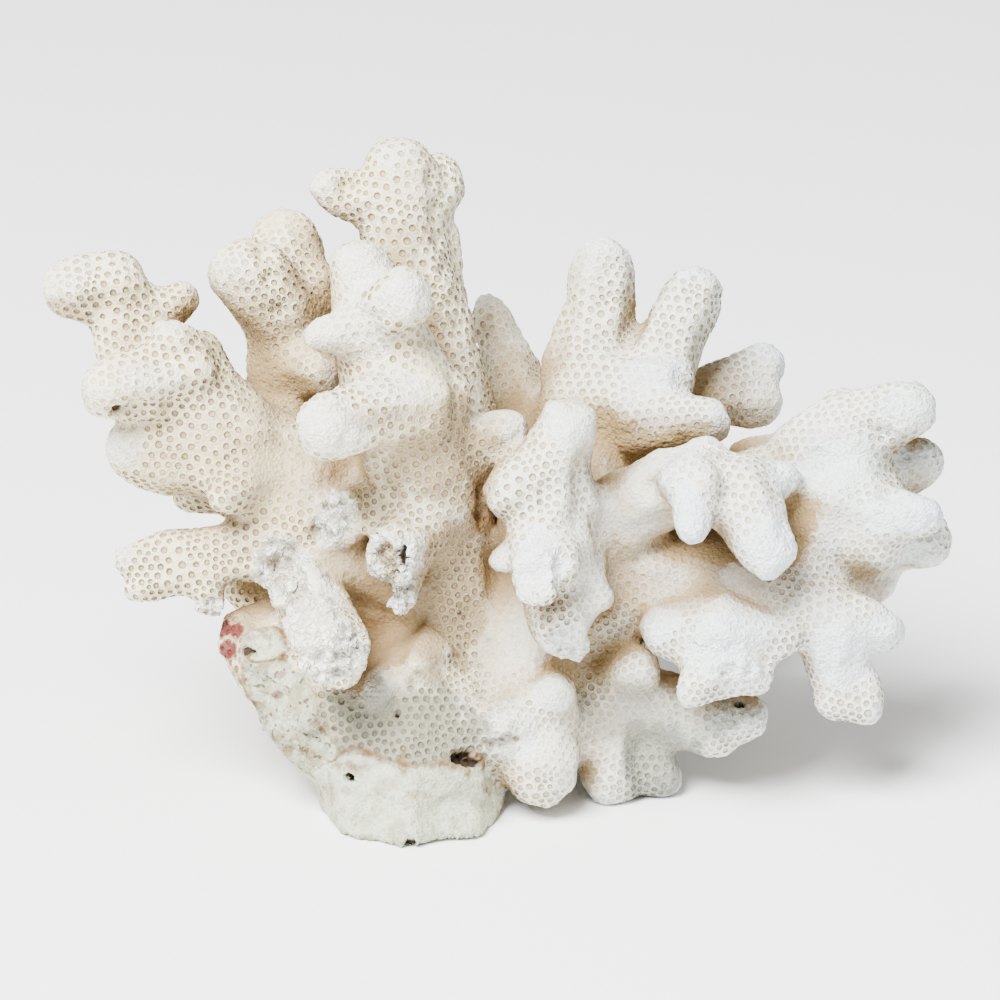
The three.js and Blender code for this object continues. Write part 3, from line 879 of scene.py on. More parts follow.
PATCHES = {
    Kind.BREAK: (
        (-25.8, 29.6, 5.9, 4.6), (-22.4, 31.0, 2.6, 4.4), (-17.2, 44.4, 4.6, 4.8),
        (-15.4, 37.6, 2.4, 4.4), (-26.0, 51.0, 3.8, 5.0, 4.5), (-32.8, 42.0, 5.0, 6.0, 6.0),
        (-29.0, 36.0, 4.6, 5.0, 5.0, 0.8), (-44.5, 36.4, 2.6, 1.8, 3.0),
        (12.0, 30.6, 3.6, 1.8, 3.0, 0.7), (35.0, 26.8, 6.0, 1.5, 4.0, 0.5),
    ),
    Kind.CORE_AND_SHADE: (
        # The rows at (-33.6, 42.6) and (-31.2, 39.4) paint shade in the hollow of a broken stub.
        (-17.7, 44.9, 1.7, 2.2, 3.5), (-17.1, 42.6, 1.3, 1.9, 3.5), (-33.6, 42.6, 1.8, 2.8, 3.5, 0.6),
        (-31.2, 39.4, 1.3, 2.6, 3.5, 0.45), (-26.9, 52.6, 1.1, 0.6, 3.0, 0.8),
        (-44.5, 36.2, 1.2, 0.6, 3.0, 0.5),
    ),
    Kind.PANEL: (
        (-34.5, 22.5, 5.8, 7.0, 9.0), (-30.0, 15.5, 4.2, 4.0, 9.0, 0.9),
    ),
    Kind.CRUST: (
        (-16.0, 4.8, 13.0, 6.4, 14.0), (-6.0, 7.0, 7.0, 5.5, 10.0), (-36.5, 31.0, 3.6, 3.0, 5.0, 0.9),
    ),
    Kind.SMOOTH: (
        (1.0, 36.0, 5.0, 9.0, 6.0, 0.8), (2.0, 27.0, 7.0, 7.0, 6.0, 0.7), (-30.5, 39.0, 5.0, 6.0, 6.0),
        (-21.0, 35.0, 7.0, 8.0, 12.0), (-18.5, 26.5, 4.4, 6.0, 7.0), (-12.0, 29.5, 5.5, 5.0, 7.0, 0.8),
        (-24.0, 43.5, 6.5, 6.0, 9.0), (-37.0, 37.0, 4.0, 4.0, 8.0, 0.5),
        (-31.0, 57.0, 8.0, 7.0, 9.0, 0.6), (22.0, 52.0, 8.0, 6.0, 6.0, 0.7),
    ),
    Kind.WHITE: (
        (35.0, 28.0, 6.5, 2.8, 5.0), (-20.5, 89.0, 5.2, 5.0, 6.0), (-15.0, 84.3, 4.8, 4.6, 5.0, 0.9),
        (-22.0, 79.0, 7.0, 6.0, 5.0, 0.8), (-29.8, 79.0, 3.4, 3.0), (-25.0, 64.8, 5.6, 5.2, 6.0),
        (-17.0, 71.0, 6.0, 5.0, 5.0, 0.7), (2.5, 64.5, 3.0, 3.0, 4.0, 0.5),
        (-68.0, 88.0, 4.6, 4.4, 5.0, 0.6), (-59.0, 62.0, 4.6, 3.6, 4.0, 0.9),
        (-53.0, 71.5, 6.0, 4.0, 4.0, 0.6), (-50.0, 81.0, 2.6, 3.0, 4.0, 0.6),
        (-42.0, 88.0, 4.5, 5.0, 5.0, 0.6), (-28.0, 102.5, 3.2, 2.6, 4.0, 0.6),
        (5.5, 45.0, 5.0, 6.5, 5.0), (11.0, 31.0, 5.0, 4.0, 5.0, 0.7), (10.0, 65.0, 4.4, 3.4, 5.0, 0.6),
        (-1.0, 44.0, 2.6, 2.6, 4.0, 0.8), (24.0, 73.5, 6.4, 4.4, 5.0, 0.7),
        (35.5, 65.8, 3.4, 3.0, 4.0, 0.7), (28.0, 50.5, 3.6, 6.5), (42.0, 47.0, 4.8, 4.8, 5.0, 0.9),
        (44.5, 57.5, 3.4, 3.0, 4.0, 0.8), (51.0, 58.0, 7.0, 5.0, 5.0, 0.7),
        (62.5, 67.0, 4.4, 3.4, 5.0, 0.6), (65.0, 59.0, 3.4, 3.4, 4.0, 0.6),
        (62.0, 51.5, 6.5, 3.2, 5.0, 0.9), (65.5, 46.5, 3.8, 3.6, 4.0, 0.6),
        (54.0, 29.0, 5.6, 6.0, 5.0, 0.7), (59.5, 34.0, 3.4, 3.2, 4.0, 0.7),
        (24.5, 34.5, 3.4, 3.0, 4.0, 0.9), (34.0, 31.0, 7.0, 4.8, 5.0, 0.8),
        (2.0, 18.0, 5.0, 5.4, 5.0, 0.6), (8.0, 24.0, 3.6, 3.0, 4.0, 0.8),
        (37.0, 20.0, 3.4, 3.4, 4.0, 0.6), (-60.0, 44.5, 3.6, 2.6, 4.0, 0.7),
        (-30.0, 37.0, 6.0, 8.0, 6.0), (-13.0, 43.0, 4.0, 6.0, 4.0, 0.8),
        (-19.0, 24.5, 2.8, 4.4, 5.0, 0.9),
    ),
    Kind.STAIN: (
        (-42.8, 33.6, 1.4, 1.2), (-40.7, 33.4, 1.0, 1.0), (-42.0, 30.4, 1.3, 1.3, 4.0, 0.9),
        (-40.8, 33.0, 3.2, 4.0, 5.0, 0.3), (-34.3, 23.5, 1.1, 0.7, 4.0, 0.6),
        (-28.5, 19.2, 1.0, 0.6, 4.0, 0.5), (-34.0, 26.6, 1.2, 0.6, 4.0, 0.5),
        (-23.0, 14.6, 2.0, 0.5, 4.0, 0.4),
    ),
    Kind.GREEN: (
        (-15.0, 17.0, 15.0, 8.5, 12.0), (-14.0, 5.0, 14.0, 7.0, 14.0, 0.35),
        # These two rows, on low parts near the floor, stand mainly for painted shade.
        (24.5, 13.0, 6.0, 7.5, 10.0), (25.0, 20.5, 12.0, 5.0, 9.0, 0.7),
        (13.0, 18.0, 6.0, 7.0, 6.0, 0.3),
    ),
    # Painted shade: every row here darkens and warms a shaded place.
    Kind.SHADE: (
        (-8.0, 61.0, 10.0, 9.0, 9.0, 0.8), (-10.0, 40.0, 9.0, 14.0, 12.0, 0.85),
        (-21.0, 36.5, 4.6, 6.0, 12.0, 0.9), (-24.0, 44.5, 4.6, 3.6, 9.0, 0.7),
        (-35.0, 57.0, 10.0, 8.0, 9.0, 0.5), (-39.8, 35.0, 3.4, 4.0, 6.0, 0.8),
        (-14.0, 17.0, 13.0, 6.0, 12.0, 0.25), (18.0, 21.0, 9.0, 5.0, 9.0, 0.3),
        (3.0, 72.0, 5.0, 8.0, 8.0, 0.75), (-1.6, 80.0, 4.0, 7.0, 8.0, 0.4),
        (-68.5, 81.5, 4.0, 3.0, 6.0, 0.6), (-15.0, 94.5, 5.5, 2.2, 6.0, 0.5),
        (-17.0, 66.0, 8.0, 2.2, 6.0, 0.5), (-46.0, 62.0, 12.0, 8.0, 8.0, 0.3),
        (-35.0, 48.0, 9.0, 4.0, 8.0, 0.4), (-32.0, 76.0, 6.0, 7.0, 6.0, 0.35),
        (30.0, 44.0, 12.0, 5.0, 8.0, 0.35), (20.0, 60.0, 8.0, 5.0, 6.0, 0.35),
    ),
    Kind.RUST_AND_SHADE: (
        (-41.0, 28.0, 1.6, 2.6, 6.0, 0.8), (-38.0, 22.0, 1.6, 2.2, 6.0, 0.8),
        (-33.5, 16.0, 2.4, 1.6, 6.0, 0.7), (-30.2, 14.5, 1.2, 1.6, 4.0, 0.7),
        (-26.0, 8.0, 1.4, 2.0, 6.0, 0.6), (-5.0, 13.2, 3.4, 2.4), (-2.4, 9.4, 1.8, 1.6, 4.0, 0.8),
        # The rows at (-2.8, 52.6) and (-20.5, 35.5) are painted shade: a dark cavity behind a limb and a
        # shadowed recess.
        (-0.5, 7.0, 1.4, 3.4, 4.0, 0.6), (-2.8, 52.6, 2.4, 4.4, 9.0),
        (-20.5, 35.5, 3.2, 4.4, 12.0, 0.6), (-24.0, 46.4, 2.2, 1.6, 9.0, 0.35),
        (-23.8, 12.6, 3.0, 0.6, 4.0, 0.7), (-14.8, 13.0, 0.7, 2.2, 4.0, 0.8),
        (-36.0, 33.6, 3.0, 0.6, 5.0, 0.7), (-33.2, 30.0, 0.8, 3.4, 5.0, 0.7),
        (-39.6, 30.0, 0.9, 1.6, 5.0, 0.8), (39.0, 22.4, 3.6, 0.8, 4.0, 0.5),
        (-0.9, 15.7, 1.9, 0.7, 3.0, 0.45), (1.6, 16.5, 1.8, 0.6, 3.0, 0.4),
    ),
    Kind.HOLE: (
        (-6.1, 13.9, 1.2, 0.9, 3.0), (-4.5, 13.1, 1.1, 0.8, 3.0), (-4.9, 14.6, 0.9, 0.5, 3.0, 0.9),
        (-23.2, 11.2, 0.6, 0.6, 3.0), (-22.8, 10.5, 0.5, 0.5, 3.0), (-13.8, 1.4, 0.6, 0.5, 3.0),
        (-16.0, 20.5, 0.55, 0.4, 3.0, 0.8), (37.0, 21.9, 0.8, 0.5, 3.0, 0.8),
        (-58.2, 66.9, 1.0, 0.8, 3.0, 0.8), (-14.9, 44.8, 0.7, 1.6, 3.0),
        (-39.0, 30.2, 0.7, 0.6, 3.0, 0.8),
    ),
    Kind.DENT: (
        (-0.9, 15.7, 1.8, 0.8, 3.0, 0.8), (1.6, 16.5, 1.7, 0.7, 3.0, 0.7),
        (-33.6, 42.0, 1.9, 2.8, 4.0, 0.3), (-31.0, 39.6, 1.3, 2.6, 4.0, 0.7),
        (-17.5, 43.5, 2.2, 3.6, 4.0, 0.6), (-15.4, 38.6, 0.9, 2.6, 4.0, 0.5),
        (-27.0, 52.2, 1.4, 1.0, 4.0, 0.7), (-27.6, 49.0, 1.5, 1.6, 4.0, 0.9),
        (-33.8, 36.2, 1.6, 1.0, 4.0, 0.9), (9.2, 42.5, 1.0, 3.4, 4.0, 0.8),
        (7.0, 54.0, 1.4, 2.2, 4.0, 0.6), (-37.0, 31.0, 2.4, 1.8), (-27.0, 17.5, 2.6, 1.2, 4.0, 0.8),
        (-6.0, 6.5, 4.0, 1.8, 6.0, 0.5), (-18.0, 6.0, 4.0, 2.0, 6.0, 0.5),
    ),
}
MARKS = tuple(Mark(kind, *row) for kind, rows in PATCHES.items() for row in rows)

# How deep the middle of each kind of sunk mark lies.
SUNK = {Kind.CORE_AND_SHADE: 0.7 * MM, Kind.HOLE: 1.9 * MM, Kind.DENT: 1.5 * MM}
# How much of the cups' depth each kind of mark takes.
WORN = {
    Kind.CRUST: 1.0,
    Kind.PANEL: 1.0,
    Kind.BREAK: 1.0,
    Kind.SMOOTH: 0.85,
    Kind.WHITE: 0.8,
    Kind.HOLE: 1.0,
}


@dataclass(frozen=True)
class Press:
    """A place where a limb is fuller or leaner than its solid part.

    Attributes:
        across: its middle, in millimetres across in the leaning view.
        up: its middle, in millimetres up in the leaning view.
        radius: how far it reaches, in millimetres.
        amount: how far the skin moves outwards, in millimetres.
    """

    across: float
    up: float
    radius: float
    amount: float

    def move(self, places: np.ndarray, outwards: np.ndarray, tree: BVHTree) -> np.ndarray:
        """Moves the skin out or in round the press.

        Args:
            places: the skin's vertices.
            outwards: their normals.
            tree: the skin, to find the press on.

        Returns:
            The moved vertices.
        """
        middle = np.array(VIEW.seen(tree, self.across, self.up)[0])
        share = between(1.0, 0.2, np.linalg.norm(places - middle, axis=1) / (self.radius * MM))
        return places + outwards * (share * self.amount * MM)[:, None]


PRESSES = tuple(Press(*row) for row in (
    (28.6, 56.0, 6.0, 1.6), (29.2, 51.5, 5.0, 1.2), (14.3, 57.5, 6.5, -2.4), (13.5, 51.0, 5.0, -1.2),
    (-33.2, 43.6, 5.2, -2.2), (-31.0, 38.6, 4.2, -2.0), (-28.3, 41.5, 3.0, 1.0),
    (-37.6, 31.2, 3.2, 1.2), (-36.0, 24.0, 6.0, -1.4), (-26.8, 18.5, 4.0, -0.9), (-9.0, 5.0, 7.0, -0.9),
    (3.4, 47.0, 3.6, -1.2), (9.6, 44.0, 3.4, -1.3), (-33.6, 33.6, 2.4, -1.8), (-27.8, 48.4, 2.4, -1.4),
    (-18.8, 23.8, 3.6, 1.6), (-12.5, 29.0, 3.6, 0.8), (-39.8, 34.6, 2.8, 1.0), (-55.5, 67.2, 3.0, -1.4),
    (-50.5, 67.6, 2.6, -1.0), (-36.3, 92.0, 2.4, -1.6), (-35.4, 87.6, 2.2, -1.3),
    (-34.4, 82.6, 2.0, -0.8), (-10.7, 103.2, 2.0, -1.6), (-10.3, 98.6, 2.0, -1.2),
    (-23.4, 102.0, 3.0, -2.2), (-9.6, 94.0, 1.8, -0.9), (-8.6, 89.0, 1.8, -0.9),
    (-7.8, 84.0, 1.8, -0.7), (-6.0, 80.0, 3.2, -1.0), (-2.8, 79.0, 3.0, -1.0), (-1.8, 85.0, 3.0, 1.2),
    (26.2, 56.6, 3.4, 1.5), (31.2, 56.6, 3.4, 1.5), (28.8, 58.6, 3.4, 1.0), (23.0, 55.4, 2.2, -1.2),
    (-2.6, 54.4, 2.2, -2.2), (-2.6, 51.4, 2.2, -2.2), (-49.2, 86.6, 2.4, 1.2), (-60.4, 41.4, 2.2, -2.0),
    (59.4, 63.4, 2.4, -1.2), (60.0, 54.6, 2.6, -1.4), (55.0, 55.0, 2.4, -0.8), (34.6, 54.2, 2.2, -1.4),
    (30.0, 27.6, 2.2, -1.0), (35.5, 26.6, 2.2, -1.0), (41.0, 28.0, 2.2, -1.0),
))


@dataclass(frozen=True)
class Cut:
    """A place where a branch has snapped off.

    Attributes:
        across: its middle, in millimetres across in the leaning view.
        up: its middle, in millimetres up in the leaning view.
        radius: how wide the broken face is.
        bite: how far under the branch's tip the face lies, in millimetres.
        facing: which way the face looks, across, away and up in the leaning view.
        thick: how much of the branch beyond the face is pressed back.
    """

    across: float
    up: float
    radius: float
    bite: float
    facing: tuple[float, float, float]
    thick: float = 6 * MM

    def snap(self, places: np.ndarray, tree: BVHTree) -> np.ndarray:
        """Presses what stands beyond the broken face back onto it.

        Args:
            places: the skin's vertices.
            tree: the skin, to find the branch's tip on.

        Returns:
            The moved vertices.
        """
        tip, _ = VIEW.seen(tree, self.across, self.up)
        middle = np.array(tip + VIEW.sight() * (self.bite * MM))
        facing = np.array(VIEW.upright(*self.facing) - VIEW.upright(0, 0, 0))
        facing /= np.linalg.norm(facing)
        off = places - middle
        over = off @ facing
        beside = np.linalg.norm(off - over[:, None] * facing, axis=1) / (self.radius * MM)
        share = between(1.5, 1.0, beside) * (over > 0) * (over < self.thick)
        return places - facing * (over * share)[:, None]


CUTS = (
    Cut(-25.8, 29.8, 6.4, 2.0, (0.15, -1.0, -0.3)),
    Cut(-17.2, 44.4, 5.2, 1.6, (-0.35, -1.0, -0.1)),
    Cut(-15.5, 37.5, 3.0, 1.2, (-0.4, -1.0, -0.1)),
    Cut(-26.0, 51.5, 4.0, 1.2, (-0.4, -1.0, 0.2)),
    Cut(-44.5, 36.4, 2.8, 1.0, (0.2, -1.0, -0.7)),
    Cut(4.5, 45.0, 4.0, 1.0, (-0.2, -1.0, -0.2)),
    Cut(11.5, 31.0, 4.0, 1.0, (0.2, -1.0, -0.3)),
)


@dataclass
class Surface:
    """How each place of the surface has grown and worn.

    Attributes:
        skin: the smooth surface.
        cells: the corallites' cells.
        fray: the noise that frays the marks' edges.
        cut_height: how high above the floor the foot's cut may bulge.
        cut_facing: the most that a place on the cut may face up.
        ring: the heights between which the crust round the foot ends, in millimetres.
        ring_fray: how far its edge wanders, in millimetres.
        back: how far from the eye a place faces where the back begins and where it is full.
        depths: how deep cups are, how much that varies, and the least and the most.
        tips: how far tips stand out where cups fade and where they end, in millimetres.
        tip_wear: how much cups fade on tips, and how much more on the back's.
        forks: how hidden forks are where cups fade and where they end.
        fork_wear: how much cups fade in forks.
        right_side: where across cups start to fade and where that ends, in millimetres.
        right_wear: how much cups fade there.
        trunk_depth: how deep the right trunk's cups are, and how much that varies.
    """

    skin: Skin
    cells: Cells
    fray: Layers = ((2.6 * MM, 1.0), (1.2 * MM, 0.6))
    cut_height: float = 0.5 * MM
    cut_facing: float = -0.6
    ring: tuple[float, float] = (12.0, 9.0)
    ring_fray: float = 3.0
    back: tuple[float, float] = (-0.1, 0.4)
    depths: tuple[float, float, float, float] = (0.9, 0.75, 0.3, 1.15)
    tips: tuple[float, float] = (2.0, 4.0)
    tip_wear: tuple[float, float] = (0.45, 0.4)
    forks: tuple[float, float] = (0.4, 0.8)
    fork_wear: float = 0.65
    right_side: tuple[float, float] = (0.0, 35.0)
    right_wear: float = 0.3
    trunk_depth: tuple[float, float] = (0.3, 0.2)

    def covers(self, places: np.ndarray) -> dict[Kind, np.ndarray]:
        """Gives how far each kind of mark covers each place.

        Args:
            places: one row each, in metres.

        Returns:
            One value between 0 and 1 for each place, by kind.
        """
        leaning = VIEW.leaning(places)
        ragged = rough(places, self.fray, 21)
        covers = {kind: np.zeros(len(places)) for kind in Kind}
        for mark in MARKS:
            cover = mark.cover(self.skin.tree, leaning, ragged)
            covers[mark.kind] = np.maximum(covers[mark.kind], cover)
        return covers

    def low_crust(self, places: np.ndarray) -> np.ndarray:
        """Gives how far the crust that rings the foot covers each place."""
        return between(*self.ring, places[:, 2] / MM + self.ring_fray * wander(places, 7 * MM, 33))

    def behind(self, outwards: np.ndarray) -> np.ndarray:
        """Gives how far on the colony's back each place lies, from its normal."""
        return between(*self.back, outwards @ np.array(VIEW.sight()))

    def on_cut(self, places: np.ndarray, outwards: np.ndarray) -> np.ndarray:
        """Gives which places lie on the foot's cut."""
        return (places[:, 2] < self.cut_height) & (outwards[:, 2] < self.cut_facing)

    def cup_depth(self, foot: int, trunk: int) -> np.ndarray:
        """Gives how deep each cell's cup is.

        Args:
            foot: the foot's number.
            trunk: the number of the right trunk, which is worn nearly smooth.

        Returns:
            One value between 0 and 1 for each cell.
        """
        cells = self.cells
        covers = self.covers(cells.middles)
        uneven = wander(cells.middles, 7 * MM, 31)
        usual, varied, least, most = self.depths
        depth = np.clip(usual + varied * wander(cells.middles, 8 * MM, 35), least, most)
        behind = self.behind(cells.outwards)
        tip = between(self.tips[0] - 0.4 * behind, self.tips[1], cells.bulge / MM + 0.6 * uneven)
        depth *= 1.0 - (self.tip_wear[0] + self.tip_wear[1] * behind) * tip
        depth *= 1.0 - self.fork_wear * between(*self.forks, cells.hidden)
        depth *= 1.0 - self.right_wear * between(*self.right_side, cells.middles[:, 0] / MM)
        for kind, share in WORN.items():
            depth *= 1.0 - share * covers[kind]
        depth = np.where(cells.limbs == foot, depth * (1.0 - self.low_crust(cells.middles)), depth)
        worn = depth * (self.trunk_depth[0] + self.trunk_depth[1] * uneven)
        depth = np.where(cells.limbs == trunk, worn, depth)
        return np.where(self.on_cut(cells.middles, cells.outwards), 0.0, depth)


@dataclass
class Corallites:
    """The raised, pitted cups that cover the colony, one in each cell.

    Attributes:
        radii: how far from the cup's middle its outer foot, its rim and its floor are.
        heights: how high each of them stands over the skin.
        middle_height: how high the little pillar in the middle stands.
        plain_radii: where the same rings lie in a cell without a cup, as shares of the cell.
        inset: how far the rings are inset before they are shaped.
        evened: how much of the way to an even star a ring's corners move.
        full_cup: how deep a cup is whose rings are fully round.
        room: how near its cell's edge may be to a cup of the usual size.
        most_room: the most that a wide cell lets its cup grow.
        sizes: how much the cups' sizes vary, and the least and the most.
        ovals: how much they vary from round.
        deeps: how much their depths vary, and the least and the most.
        drift: how far they stand off their cells' middles.
        colony: the whole surface.
        rings: the vertices of each ring, cell by cell.
        rim: how wide each cup's rim is.
        cell_of_vertex: the cell that each vertex belongs to.
    """

    radii: tuple[float, ...] = (0.67 * MM, 0.54 * MM, 0.42 * MM)
    heights: tuple[float, ...] = (0.0, 0.11 * MM, -0.25 * MM)
    middle_height: float = -0.08 * MM
    plain_radii: tuple[float, ...] = (0.76, 0.52, 0.27)
    inset: float = 0.05 * MM
    evened: float = 0.75
    full_cup: float = 0.35
    room: float = 0.8 * MM
    most_room: float = 1.1
    sizes: tuple[float, float, float] = (0.07, 0.82, 1.16)
    ovals: float = 0.06
    deeps: tuple[float, float, float] = (0.16, 0.6, 1.4)
    drift: float = 0.05 * MM
    colony: bpy.types.Object = field(init=False, default=None)
    rings: list[np.ndarray] = field(init=False, default_factory=list)
    rim: np.ndarray = field(init=False, default=None)
    cell_of_vertex: np.ndarray = field(init=False, default=None)

    def lay(self, cells: Cells) -> None:
        """Lays the cells' outlines as one mesh and insets them for the cups' rings."""
        mesh = bpy.data.meshes.new("colony")
        mesh.from_pydata(cells.corners, [], cells.outlines)
        mesh.update()
        self.colony = bpy.data.objects.new("colony", mesh)
        bpy.context.collection.objects.link(self.colony)
        numbers = np.arange(len(cells.outlines), dtype=np.int32)
        mesh.attributes.new("cell", "INT", "FACE").data.foreach_set("value", numbers)
        select_only(self.colony)
        self.rings = [self.outline_vertices(len(numbers))]
        with edit_mode():
            bpy.ops.mesh.select_all(action="SELECT")
        for _ in self.radii:
            with edit_mode():
                bpy.ops.mesh.inset(thickness=self.inset, use_individual=True)
            self.rings.append(self.outline_vertices(len(numbers)))
        with edit_mode():
            bpy.ops.mesh.poke()

    def outline_vertices(self, count: int) -> np.ndarray:
        """Gives the vertices round each cell's innermost face, cell by cell in one row."""
        polygons = self.colony.data.polygons
        return np.array([vertex for number in range(count) for vertex in polygons[number].vertices])

    def evened_out(self, angle: np.ndarray, cell: np.ndarray, sizes: np.ndarray) -> np.ndarray:
        """Turns each cell's corners towards an even star.

        Args:
            angle: each corner's angle round its cell's middle.
            cell: each corner's cell.
            sizes: how many corners each cell has.

        Returns:
            The new angles.
        """
        turn = np.concatenate([np.arange(size) for size in sizes]) * math.tau / sizes[cell]
        lag = angle - turn
        mean = np.arctan2(np.bincount(cell, np.sin(lag)), np.bincount(cell, np.cos(lag)))
        even = turn + mean[cell]
        return angle + self.evened * ((even - angle + math.pi) % math.tau - math.pi)

    def shape(self, cells: Cells, depth: np.ndarray) -> None:
        """Moves the rings into cups.

        Args:
            cells: the cells.
            depth: how deep each cell's cup is, 0 to 1.
        """
        mesh = self.colony.data
        places = coordinates(mesh)
        sizes = np.array([len(outline) for outline in cells.outlines])
        count = len(sizes)
        cell = np.repeat(np.arange(count), sizes)
        out = cells.outwards[cell]
        east = cells.sideways[cell]
        north = np.cross(out, east)
        reach = places[self.rings[0]] - cells.middles[cell]
        x = dots(reach, east)
        y = dots(reach, north)
        rise = dots(reach, out)
        far = np.hypot(x, y)
        angle = self.evened_out(np.arctan2(y, x), cell, sizes)
        nearest = np.full(count, np.inf)
        np.minimum.at(nearest, cell, far)
        chance = np.random.default_rng(11)
        grown = np.clip(chance.normal(1.0, self.sizes[0], count), *self.sizes[1:])
        oval = 1.0 + chance.normal(0.0, self.ovals, count)
        cup = between(0.0, self.full_cup, depth)
        deep = depth * np.clip(chance.normal(1.0, self.deeps[0], count), *self.deeps[1:])
        drift = chance.normal(0.0, self.drift, (count, 2)) * cup[:, None]
        room = np.minimum(nearest / self.room, self.most_room)
        self.rim = self.radii[1] * grown * room
        squash = 1.0 + (oval[cell] - 1.0) * cup[cell]
        for ring, radius, height, plain in zip(self.rings[1:], self.radii, self.heights, self.plain_radii):
            round_cup = radius * (grown * room)[cell]
            round_cup = np.minimum(round_cup, far * (0.5 + 0.42 * plain))
            reach_out = cup[cell] * round_cup + (1.0 - cup[cell]) * far * plain
            across = (np.cos(angle) * reach_out * squash + drift[cell, 0])[:, None]
            along = (np.sin(angle) * reach_out / squash + drift[cell, 1])[:, None]
            level = (rise * (reach_out / far) ** 2 + height * deep[cell])[:, None]
            places[ring] = cells.middles[cell] + east * across + north * along + out * level
        hub = len(places) - count
        places[hub:] = (
            cells.middles
            + cells.sideways * drift[:, :1]
            + np.cross(cells.outwards, cells.sideways) * drift[:, 1:]
            + cells.outwards * (self.middle_height * deep)[:, None]
        )
        move_to(mesh, places)
        self.cell_of_vertex = np.empty(len(places), dtype=np.int64)
        for ring in self.rings:
            self.cell_of_vertex[ring] = cell
        self.cell_of_vertex[hub:] = np.arange(count)


